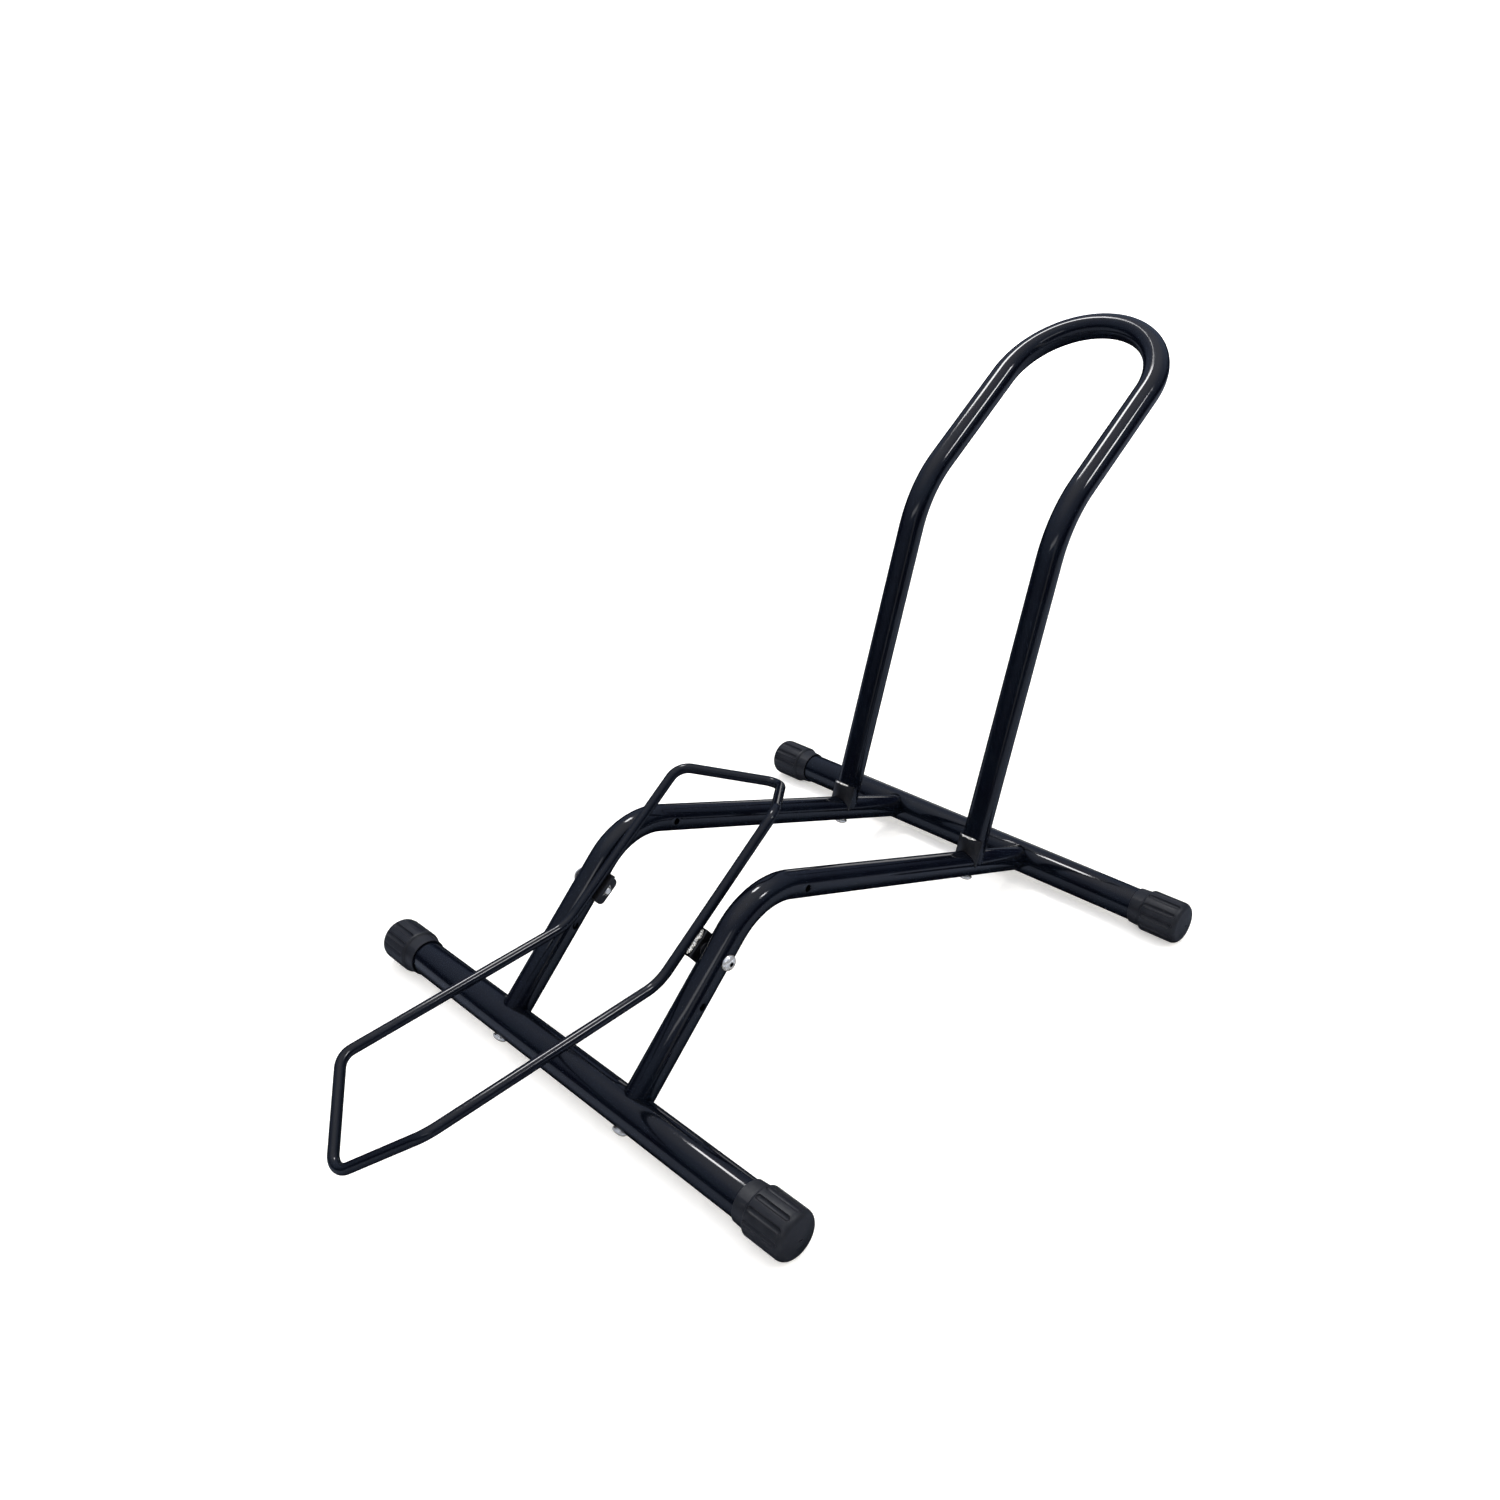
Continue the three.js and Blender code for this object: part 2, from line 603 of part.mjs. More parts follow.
// A rubber end cap along +Y from its lip at y = 0: smooth collar, fluted body, crowned end.
// The facet of each land is flat, and one land faces straight down, to -Z.
function endCap() {
  const bodyEnd = CAP_LENGTH - CAP_CROWN - CAP_EDGE_RADIUS;
  const profile = [
    [0, 0],
    [capBore + CAP_LIP_WALL, 0],
    [capBore + CAP_COLLAR_WALL, CAP_COLLAR_LENGTH],
    [capRadius, CAP_COLLAR_LENGTH + CAP_STEP_LENGTH],
  ];
  for (let k = 0; k <= CAP_EDGE_STEPS; k += 1) {
    const turned = (Math.PI / 2) * (k / CAP_EDGE_STEPS);
    const inward = CAP_EDGE_RADIUS * (1 - Math.cos(turned));
    profile.push([capRadius - inward, bodyEnd + CAP_EDGE_RADIUS * Math.sin(turned)]);
  }
  profile.push([0, CAP_LENGTH]);
  const halfFacet = Math.PI / (2 * CAP_FLUTES);
  const outline = profile.map(([r, y]) => new THREE.Vector2(r / Math.cos(halfFacet), y));
  let cap = solid(new THREE.LatheGeometry(outline, 2 * CAP_FLUTES, Math.PI - halfFacet));

  const fluteStart = CAP_COLLAR_LENGTH + CAP_FLUTE_MARGIN + CAP_FLUTE_RADIUS;
  const fluteEnd = bodyEnd + CAP_EDGE_RADIUS / 2 - CAP_FLUTE_RADIUS;
  const fluteOut = capRadius - CAP_FLUTE_DEPTH + CAP_FLUTE_RADIUS;
  for (let k = 0; k < CAP_FLUTES; k += 1) {
    const angle = Math.PI + (2 * Math.PI * (k + 0.5)) / CAP_FLUTES;
    const flute = new THREE.CapsuleGeometry(CAP_FLUTE_RADIUS, fluteEnd - fluteStart, 1, 6);
    flute.rotateY(angle);
    flute.translate(fluteOut * Math.sin(angle), (fluteStart + fluteEnd) / 2, fluteOut * Math.cos(angle));
    cap = cap.subtract(solid(flute));
  }

  const boreEnd = CAP_LENGTH - CAP_PAST_TUBE + SEAT_GAP;
  const bore = rod(capBore, point(0, -CUT_MARGIN, 0), point(0, boreEnd, 0), BASE_SIDES);
  const dimpleFloor = point(0, CAP_LENGTH - CAP_DIMPLE_DEPTH, 0);
  const dimple = rod(CAP_DIMPLE_RADIUS, dimpleFloor, point(0, CAP_LENGTH + CUT_MARGIN, 0), 6);
  return cap.subtract(bore).subtract(dimple);
}

for (const { end, centre } of ends) {
  for (const { side, sign } of sides) {
    const cap = addPiece(frame, `end_cap_${end}_${side}`, endCap(), charcoalRubber());
    const lipX = BASE_LENGTH / 2 + CAP_PAST_TUBE - CAP_LENGTH;
    cap.rotation.z = sign > 0 ? -Math.PI / 2 : Math.PI / 2;
    cap.position.copy(centre).setX(sign * lipX);
  }
}

// The origin is on the floor, under the middle of the rack's outline.
rack.updateMatrixWorld(true);
const bounds = new THREE.Box3().setFromObject(rack, true);
rack.position.y = -(bounds.min.y + bounds.max.y) / 2;

export default rack;
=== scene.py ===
from math import ceil, cos, degrees, pi, radians, sin, sqrt, tan

import bpy
from mathutils import Matrix, Quaternion, Vector


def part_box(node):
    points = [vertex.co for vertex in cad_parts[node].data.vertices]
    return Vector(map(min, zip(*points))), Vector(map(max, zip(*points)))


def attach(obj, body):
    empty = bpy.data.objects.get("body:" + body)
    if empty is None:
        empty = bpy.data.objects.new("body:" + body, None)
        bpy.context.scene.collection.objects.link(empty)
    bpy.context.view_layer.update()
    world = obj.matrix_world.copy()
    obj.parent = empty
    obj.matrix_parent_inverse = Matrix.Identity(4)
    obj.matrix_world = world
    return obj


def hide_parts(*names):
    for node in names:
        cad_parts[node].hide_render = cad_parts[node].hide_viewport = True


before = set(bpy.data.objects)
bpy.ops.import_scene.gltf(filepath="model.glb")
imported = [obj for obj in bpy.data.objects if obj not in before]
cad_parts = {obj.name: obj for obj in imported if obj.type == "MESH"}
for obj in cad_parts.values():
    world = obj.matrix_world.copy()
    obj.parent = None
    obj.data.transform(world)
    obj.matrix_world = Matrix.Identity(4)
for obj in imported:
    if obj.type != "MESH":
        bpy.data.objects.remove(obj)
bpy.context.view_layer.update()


# ---------------------------------------------------------------------------------------------
# Cross tubes: two straight 32 mm steel tubes under the rack, one where the wheel rolls in and
# one behind it. Each has two holes that take the ends of the rails, and a bolt hole under each.

TUBE_WALL = 0.0015
RAIL_RADIUS = 0.0125
RAIL_X = (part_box("side_tube_right")[0].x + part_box("side_tube_right")[1].x) / 2
RAIL_BEND_FORWARD = 0.142
RAIL_BEND_RISE = 0.140
HOLE_CLEARANCE = 0.0003
HOLE_RING_REACH = 0.022
FRAME_BOLT_RADIUS = 0.004
FRAME_HOLE_RADIUS = FRAME_BOLT_RADIUS + HOLE_CLEARANCE
FINE_SIDES = 96
RIM_SOFTENING = 0.00035
HOLE_SOFTENING = 0.00065

front_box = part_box("front_base_tube")
rear_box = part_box("rear_base_tube")
front_centre = (front_box[0] + front_box[1]) / 2
rear_centre = (rear_box[0] + rear_box[1]) / 2
rail_bend = front_centre + Vector((0, RAIL_BEND_FORWARD, RAIL_BEND_RISE))
front_run = (rail_bend - front_centre).normalized()
top_run = (rail_bend - rear_centre).normalized()
ACROSS = Vector((1, 0, 0))
UP = Vector((0, 0, 1))


def linear(hex_colour):
    """An sRGB hex colour as linear RGBA."""
    channels = [int(hex_colour[i:i + 2], 16) / 255 for i in (1, 3, 5)]
    return [c / 12.92 if c <= 0.04045 else ((c + 0.055) / 1.055) ** 2.4 for c in channels] + [1.0]


def add_node(tree, kind, inputs=None, **settings):
    """Adds one shader node. Inputs are numbers, colours, or the output sockets that feed them."""
    node = tree.nodes.new(kind)
    for name, value in settings.items():
        setattr(node, name, value)
    for name, value in (inputs or {}).items():
        if isinstance(value, bpy.types.NodeSocket):
            tree.links.new(value, node.inputs[name])
        else:
            node.inputs[name].default_value = value
    return node


def new_material(name):
    """An empty node material with its Principled shader and output, ready to be given its detail."""
    material = bpy.data.materials.new(name)
    material.use_nodes = True
    material.node_tree.nodes.clear()
    shader = add_node(material.node_tree, "ShaderNodeBsdfPrincipled")
    add_node(material.node_tree, "ShaderNodeOutputMaterial", {"Surface": shader.outputs["BSDF"]})
    return material, material.node_tree, shader


def noise_at(tree, size, detail=3.0):
    """Noise whose lumps are about the given size across, in metres, fixed to the piece."""
    place = add_node(tree, "ShaderNodeTexCoord")
    inputs = {"Vector": place.outputs["Object"], "Scale": 1 / size, "Detail": detail}
    return add_node(tree, "ShaderNodeTexNoise", inputs)


def ramp(tree, source, stops):
    """A colour ramp from (position, colour) stops."""
    node = add_node(tree, "ShaderNodeValToRGB", {"Fac": source})
    elements = node.color_ramp.elements
    while len(elements) < len(stops):
        elements.new(0.5)
    for element, (position, colour) in zip(elements, stops):
        element.position = position
        element.color = colour
    return node


def grey(value):
    return [value, value, value, 1.0]


def vary(tree, shader, socket, noise, stops):
    """Drives one of the shader's inputs with a noise, through a ramp of (position, colour) stops."""
    blend = ramp(tree, noise.outputs["Fac"], stops)
    tree.links.new(blend.outputs["Color"], shader.inputs[socket])


def add_relief(tree, shader, noise, strength, depth):
    """Lets a noise stand out as a fine relief of the given depth in metres."""
    bump = add_node(tree, "ShaderNodeBump", {
        "Height": noise.outputs["Fac"], "Strength": strength, "Distance": depth})
    tree.links.new(bump.outputs["Normal"], shader.inputs["Normal"])


def black_powder_coat():
    """Gloss black polyester powder, sprayed dry on steel and baked. It flows out to a hard, slightly
    blue black, with the faint waviness of orange peel that makes its highlights tremble."""
    material, tree, shader = new_material("gloss_black_powder_coat_baked")
    clouding = noise_at(tree, size=0.035)
    vary(tree, shader, "Base Color", clouding, [(0.35, linear("#030409")), (0.65, linear("#05080e"))])
    haze = noise_at(tree, size=0.012)
    vary(tree, shader, "Roughness", haze, [(0.3, grey(0.08)), (0.7, grey(0.12))])
    orange_peel = noise_at(tree, size=0.0035, detail=1.0)
    add_relief(tree, shader, orange_peel, strength=0.03, depth=0.0002)
    shader.inputs["IOR"].default_value = 1.45
    return material


coat = black_powder_coat()


def select_only(obj):
    bpy.ops.object.select_all(action="DESELECT")
    obj.select_set(True)
    bpy.context.view_layer.objects.active = obj


def apply_place(obj):
    """Moves an object's place and turn into its mesh."""
    select_only(obj)
    bpy.ops.object.transform_apply(location=True, rotation=True, scale=True)


def add_rod(centre, along, radius, length, sides=48, ends="NGON"):
    """A straight round rod, or an open sleeve, centred on a point."""
    bpy.ops.object.select_all(action="DESELECT")
    turn = along.to_track_quat("Z", "Y").to_euler()
    bpy.ops.mesh.primitive_cylinder_add(
        vertices=sides, radius=radius, depth=length, end_fill_type=ends, location=centre, rotation=turn)
    rod = bpy.context.object
    apply_place(rod)
    return rod


def apply_modifier(obj, kind, **settings):
    modifier = obj.modifiers.new(kind.lower(), kind)
    for name, value in settings.items():
        setattr(modifier, name, value)
    select_only(obj)
    bpy.ops.object.modifier_apply(modifier=modifier.name)


def cut(obj, cutter):
    """Takes the cutter's shape out of obj and throws the cutter away."""
    apply_modifier(obj, "BOOLEAN", operation="DIFFERENCE", solver="EXACT", object=cutter)
    bpy.data.objects.remove(cutter)


def add_rings(obj, places, normal):
    """Cuts edge rings across a tube at the given places, so that a hole between them shades cleanly."""
    select_only(obj)
    bpy.ops.object.mode_set(mode="EDIT")
    for place in places:
        bpy.ops.mesh.select_all(action="SELECT")
        bpy.ops.mesh.bisect(plane_co=place, plane_no=normal)
    bpy.ops.object.mode_set(mode="OBJECT")


def soften_edges(obj, width, segments=2, angle=40):
    apply_modifier(
        obj, "BEVEL", width=width, segments=segments, limit_method="ANGLE", angle_limit=radians(angle),
        use_clamp_overlap=True)


def finish_piece(obj, name, node, body, slot, *materials):
    """Smooths a piece and lets it stand for its CAD node. Materials given here replace its own."""
    obj.name = name
    obj.data.name = name
    select_only(obj)
    bpy.ops.object.shade_smooth_by_angle(angle=radians(35))
    if materials:
        obj.data.materials.clear()
    for material in materials:
        obj.data.materials.append(material)
    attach(obj, body)
    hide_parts(node)


def cross_tube(centre, box, run):
    length = box[1].x - box[0].x
    radius = (box[1].z - box[0].z) / 2
    tube = add_rod(centre, ACROSS, radius, length, FINE_SIDES, ends="NOTHING")
    reaches = (-HOLE_RING_REACH, HOLE_RING_REACH)
    edges = [side * RAIL_X + reach for side in (-1, 1) for reach in reaches]
    add_rings(tube, [Vector((x, 0, 0)) for x in edges], ACROSS)
    apply_modifier(tube, "SOLIDIFY", thickness=TUBE_WALL, offset=-1)
    for side in (-1, 1):
        seat = centre + side * RAIL_X * ACROSS
        rail_hole = add_rod(
            seat + run * radius, run, RAIL_RADIUS + HOLE_CLEARANCE, 2 * radius, FINE_SIDES)
        cut(tube, rail_hole)
        cut(tube, add_rod(seat - run * radius, run, FRAME_HOLE_RADIUS, radius))
    soften_edges(tube, HOLE_SOFTENING)
    return tube


for end, centre, box, run in (
    ("front", front_centre, front_box, front_run), ("rear", rear_centre, rear_box, top_run),
):
    tube = cross_tube(centre, box, run)
    finish_piece(tube, f"{end}_cross_tube", f"{end}_base_tube", "frame", "black_powder_coat", coat)


# ---------------------------------------------------------------------------------------------
# Rails: two 25 mm tubes, each bent once on a mandrel, from the front cross tube up over the bend
# and back down to the rear one. Three holes go across each for the pivot bolt: one is in use.

RAIL_BEND_RADIUS = 0.064
RAIL_PAST_CENTRE = 0.0064
PIVOT_FROM_FRONT = 0.1375
SPARE_HOLE_STEP = 0.040
SPARE_HOLE_PAST_BEND = 0.0516
PIVOT_BOLT_RADIUS = 0.003
PIVOT_HOLE_RADIUS = PIVOT_BOLT_RADIUS + HOLE_CLEARANCE
RAIL_HOLE_SIDES = 32
RAIL_RING_REACH = 0.008
HOOP_FOOT_FROM_REAR = 0.100
HOOP_LEAN = radians(19.4)
TUBE_SIDES = 72
DEGREES_PER_RING = 3
SHORTEST_STEP = 1e-6

pivot = front_centre + front_run * PIVOT_FROM_FRONT
hoop_foot = rear_centre + top_run * HOOP_FOOT_FROM_REAR
leg_axis = Vector((0, sin(HOOP_LEAN), cos(HOOP_LEAN)))


def pull_ring(step):
    """Extrudes the selected ring by a straight step."""
    if step.length > SHORTEST_STEP:
        bpy.ops.mesh.extrude_edges_move(TRANSFORM_OT_translate={"value": step})


def face_outward(obj):
    """Turns every face's normal to the outside of its shell."""
    select_only(obj)
    bpy.ops.object.mode_set(mode="EDIT")
    bpy.ops.mesh.select_all(action="SELECT")
    bpy.ops.mesh.normals_make_consistent(inside=False)
    bpy.ops.object.mode_set(mode="OBJECT")


def bent_tube(corners, radius, sides=TUBE_SIDES):
    """One ring pulled along a line of (point, bend radius) corners and spun round each bend."""
    points = [point for point, _ in corners]
    facing = (points[1] - points[0]).to_track_quat("Z", "Y").to_euler()
    bpy.ops.object.select_all(action="DESELECT")
    bpy.ops.mesh.primitive_circle_add(
        vertices=sides, radius=radius, location=points[0], rotation=facing)
    tube = bpy.context.object
    apply_place(tube)
    bpy.ops.object.mode_set(mode="EDIT")
    bpy.ops.mesh.select_mode(type="EDGE")
    bpy.ops.mesh.select_all(action="SELECT")
    here = points[0]
    for before, (corner, bend_radius), after in zip(points, corners[1:], points[2:]):
        arrive = (corner - before).normalized()
        leave = (after - corner).normalized()
        turn = arrive.angle(leave)
        reach = bend_radius * tan(turn / 2)
        start = corner - arrive * reach
        pull_ring(start - here)
        inward = (leave - arrive * cos(turn)).normalized()
        # The spin operator turns left-handed about its axis.
        bpy.ops.mesh.spin(
            steps=ceil(degrees(turn) / DEGREES_PER_RING), angle=-turn,
            center=start + inward * bend_radius, axis=arrive.cross(leave).normalized())
        here = corner + leave * reach
    pull_ring(points[-1] - here)
    bpy.ops.object.mode_set(mode="OBJECT")
    face_outward(tube)
    return tube


def rail(x):
    aside = x * ACROSS
    tube = bent_tube([
        (front_centre - front_run * RAIL_PAST_CENTRE + aside, 0),
        (rail_bend + aside, RAIL_BEND_RADIUS),
        (rear_centre - top_run * RAIL_PAST_CENTRE + aside, 0)], RAIL_RADIUS)
    spare_low = pivot - front_run * SPARE_HOLE_STEP
    spare_high = rail_bend - top_run * SPARE_HOLE_PAST_BEND
    for hole, run in (
        (pivot, front_run), (spare_low, front_run), (spare_high, top_run), (hoop_foot, top_run),
    ):
        add_rings(tube, [hole - run * RAIL_RING_REACH, hole + run * RAIL_RING_REACH], run)
    apply_modifier(tube, "SOLIDIFY", thickness=TUBE_WALL, offset=-1)
    through = 4 * RAIL_RADIUS
    for hole in (pivot, spare_low, spare_high):
        cut(tube, add_rod(hole + aside, ACROSS, PIVOT_HOLE_RADIUS, through, RAIL_HOLE_SIDES))
    cut(tube, add_rod(hoop_foot + aside, leg_axis, FRAME_HOLE_RADIUS, through, RAIL_HOLE_SIDES))
    soften_edges(tube, RIM_SOFTENING)
    return tube


for side, sign in (("left", -1), ("right", 1)):
    tube = rail(sign * RAIL_X)
    finish_piece(tube, f"{side}_rail", f"side_tube_{side}", "frame", "black_powder_coat", coat)


# ---------------------------------------------------------------------------------------------
# Wheel hoop: one long 25 mm tube bent to an upside-down U whose top leans back. Its two feet are
# coped, so that they stand astride the rails. Half of it is drawn and mirrored.

HOOP_LEG_LENGTH = 0.340
HOOP_UPPER_LEAN = radians(54.9)
HOOP_UPPER_LENGTH = 0.160
HOOP_BEND_RADIUS = 0.125
HOOP_RING_ABOVE_FOOT = 0.02
SEAT_GAP = 0.0003
SAME_PLACE = 1e-5
DOUBLED_POINT = 1e-6

upper_axis = Vector((0, sin(HOOP_UPPER_LEAN), cos(HOOP_UPPER_LEAN)))
hoop_bend = hoop_foot + leg_axis * HOOP_LEG_LENGTH
arch_top = hoop_bend + upper_axis * (HOOP_UPPER_LENGTH + RAIL_X)


def mirror_half(obj):
    """Adds the other half across the rack's centre plane and joins it on."""
    apply_modifier(
        obj, "MIRROR", use_axis=(True, False, False), use_mirror_merge=True,
        merge_threshold=SAME_PLACE)
    select_only(obj)
    bpy.ops.object.mode_set(mode="EDIT")
    bpy.ops.mesh.select_all(action="SELECT")
    bpy.ops.mesh.remove_doubles(threshold=DOUBLED_POINT)
    bpy.ops.object.mode_set(mode="OBJECT")
    face_outward(obj)


def saddle(x):
    """The shape of the rail under a hoop foot, which its cope is cut to."""
    foot = hoop_foot + x * ACROSS
    return add_rod(foot, top_run, RAIL_RADIUS + SEAT_GAP, 8 * RAIL_RADIUS, FINE_SIDES)


aside = RAIL_X * ACROSS
hoop = bent_tube([
    (hoop_foot + aside, 0),
    (hoop_bend + aside, HOOP_BEND_RADIUS),
    (arch_top + aside, RAIL_X),
    (arch_top, 0)], RAIL_RADIUS)
add_rings(hoop, [hoop_foot + leg_axis * HOOP_RING_ABOVE_FOOT], leg_axis)
mirror_half(hoop)
apply_modifier(hoop, "SOLIDIFY", thickness=TUBE_WALL, offset=-1)
for x in (-RAIL_X, RAIL_X):
    cut(hoop, saddle(x))
soften_edges(hoop, RIM_SOFTENING)
finish_piece(hoop, "wheel_hoop_tube", "wheel_hoop", "frame", "black_powder_coat", coat)


# ---------------------------------------------------------------------------------------------
# Gussets: half-shells of 2.4 mm plate, rolled round the front of each hoop leg and welded to it
# along a narrow ledge at their top. Their lower edge is coped on the rail.

GUSSET_WALL = 0.0024
GUSSET_HEIGHT = 0.027
GUSSET_HALF_ANGLE = radians(62)
GUSSET_SOFTENING = 0.0006

leg_forward = ACROSS.cross(leg_axis)


def coat_on_plate():
    """Powder over sawn and sheared plate: thinner and drier than on the tubes, so it looks a soft,
    slightly brown black without a sharp highlight."""
    material, tree, shader = new_material("satin_black_powder_coat_on_plate")
    grain = noise_at(tree, size=0.0016)
    vary(tree, shader, "Base Color", grain, [(0.35, linear("#070708")), (0.65, linear("#100f10"))])
    vary(tree, shader, "Roughness", grain, [(0.3, grey(0.30)), (0.7, grey(0.42))])
    add_relief(tree, shader, grain, strength=0.25, depth=0.0002)
    return material


plate_coat = coat_on_plate()


def gusset(x):
    foot = hoop_foot + x * ACROSS
    middle = foot + leg_axis * GUSSET_HEIGHT / 2
    radius = RAIL_RADIUS + SEAT_GAP + GUSSET_WALL
    shell = add_rod(middle, leg_axis, radius, GUSSET_HEIGHT, FINE_SIDES, ends="NOTHING")
    for sign in (-1, 1):
        edge = Quaternion(leg_axis, sign * GUSSET_HALF_ANGLE) @ leg_forward
        outside = Quaternion(leg_axis, sign * pi / 2) @ edge
        select_only(shell)
        bpy.ops.object.mode_set(mode="EDIT")
        bpy.ops.mesh.select_all(action="SELECT")
        bpy.ops.mesh.bisect(plane_co=foot, plane_no=outside, clear_outer=True)
        bpy.ops.object.mode_set(mode="OBJECT")
    apply_modifier(shell, "SOLIDIFY", thickness=GUSSET_WALL, offset=-1)
    cut(shell, saddle(x))
    soften_edges(shell, GUSSET_SOFTENING, segments=3)
    return shell


for side, sign in (("left", -1), ("right", 1)):
    plate = gusset(sign * RAIL_X)
    name, node = f"{side}_hoop_gusset_plate", f"hoop_gusset_{side}"
    finish_piece(plate, name, node, "frame", "black_powder_coat", plate_coat)


# ---------------------------------------------------------------------------------------------
# Cradle: one 9 mm round bar bent to a closed loop, with a vee at each end that centres the tyre.
# It rocks on the pivot bolts. Half of it is drawn and mirrored.

CRADLE_SLOPE = radians(37.1)
WIRE_RADIUS = 0.0045
WIRE_X = 0.060
NUT_FLATS = 0.010
NUT_ROOM = 0.0012
BRACKET_PLATE = 0.003
FLANGE_TOP = NUT_FLATS / sqrt(3) + NUT_ROOM + BRACKET_PLATE
WIRE_ABOVE_PIVOT = FLANGE_TOP + SEAT_GAP + WIRE_RADIUS
REAR_RUN_BEHIND_PIVOT = 0.124
REAR_RUN_AHEAD_OF_PIVOT = 0.0435
FRONT_RUN_LENGTH = 0.2138
FRONT_RUN_KINK = radians(33.6)
FRONT_VEE_DEPTH = 0.0654
FRONT_VEE_DROP = radians(5.9)
REAR_VEE_DEPTH = 0.0715
REAR_VEE_DROP = radians(54.8)
SIDE_KINK_RADIUS = 0.043
FRONT_CORNER_RADIUS = 0.018
FRONT_APEX_RADIUS = 0.014
REAR_CORNER_RADIUS = 0.020
REAR_APEX_RADIUS = 0.0125
WIRE_SIDES = 40

along = Vector((0, cos(CRADLE_SLOPE), sin(CRADLE_SLOPE)))
off = Vector((0, -sin(CRADLE_SLOPE), cos(CRADLE_SLOPE)))


def heading_at(angle):
    """A direction in the cradle's side plane, at an angle up from its rear run."""
    return along * cos(angle) + off * sin(angle)


def half_apex(corner, apex, radius):
    """The centre plane's point of a rounded apex, and the corner that its half-bend turns at."""
    leg = apex - corner
    turn = ACROSS.angle(-leg)
    depth = Vector((0, leg.y, leg.z)).normalized()
    shift = radius / cos(turn) - radius
    middle = apex - depth * shift
    return middle, middle + ACROSS * radius * tan(turn / 2)


kink = pivot + off * WIRE_ABOVE_PIVOT - along * REAR_RUN_AHEAD_OF_PIVOT
front_corner = kink - heading_at(-FRONT_RUN_KINK) * FRONT_RUN_LENGTH
front_apex = front_corner - heading_at(FRONT_VEE_DROP) * FRONT_VEE_DEPTH
rear_corner = pivot + off * WIRE_ABOVE_PIVOT + along * REAR_RUN_BEHIND_PIVOT
rear_apex = rear_corner + heading_at(-REAR_VEE_DROP) * REAR_VEE_DEPTH
wire_aside = WIRE_X * ACROSS
front_middle, front_turn = half_apex(front_corner + wire_aside, front_apex, FRONT_APEX_RADIUS)
rear_middle, rear_turn = half_apex(rear_corner + wire_aside, rear_apex, REAR_APEX_RADIUS)
wire = bent_tube([
    (front_middle, 0),
    (front_turn, FRONT_APEX_RADIUS),
    (front_corner + wire_aside, FRONT_CORNER_RADIUS),
    (kink + wire_aside, SIDE_KINK_RADIUS),
    (rear_corner + wire_aside, REAR_CORNER_RADIUS),
    (rear_turn, REAR_APEX_RADIUS),
    (rear_middle, 0)], WIRE_RADIUS, WIRE_SIDES)
mirror_half(wire)
finish_piece(wire, "cradle_wire", "rocker_wire", "rocker", "black_powder_coat", coat)


# ---------------------------------------------------------------------------------------------
# Cradle brackets: 3 mm plate folded to an angle. The upright leg turns on the pivot bolt, and
# the top leg is turned in under the wire and welded to it along its outer side.

BRACKET_WIDTH = 0.026
BRACKET_BELOW_PIVOT = 0.012
BRACKET_CORNER_RADIUS = 0.005
BRACKET_CORNER_STEPS = 8
BRACKET_FOLD_RADIUS = 0.0015
BRACKET_FOLD_STEPS = 6
BRACKET_CUT_LENGTH = 0.02
SHEET_SOFTENING = 0.0003

bracket_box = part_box("rocker_bracket_right")
bracket_inner, bracket_outer = bracket_box[0].x, bracket_box[1].x


def select_edges(obj, wanted):
    """Selects the edges that a test on their two ends picks out, and goes into edit mode."""
    select_only(obj)
    bpy.ops.object.mode_set(mode="EDIT")
    bpy.ops.mesh.select_mode(type="EDGE")
    bpy.ops.mesh.select_all(action="DESELECT")
    bpy.ops.object.mode_set(mode="OBJECT")
    mesh = obj.data
    for edge in mesh.edges:
        ends = [mesh.vertices[i].co for i in edge.vertices]
        edge.select = wanted(*ends)
    bpy.ops.object.mode_set(mode="EDIT")


def bevel_edges(obj, wanted, width, segments):
    """Rounds the edges that a test on their two ends picks out."""
    select_edges(obj, wanted)
    bpy.ops.mesh.bevel(offset=width, segments=segments, affect="EDGES", clamp_overlap=False)
    bpy.ops.object.mode_set(mode="OBJECT")


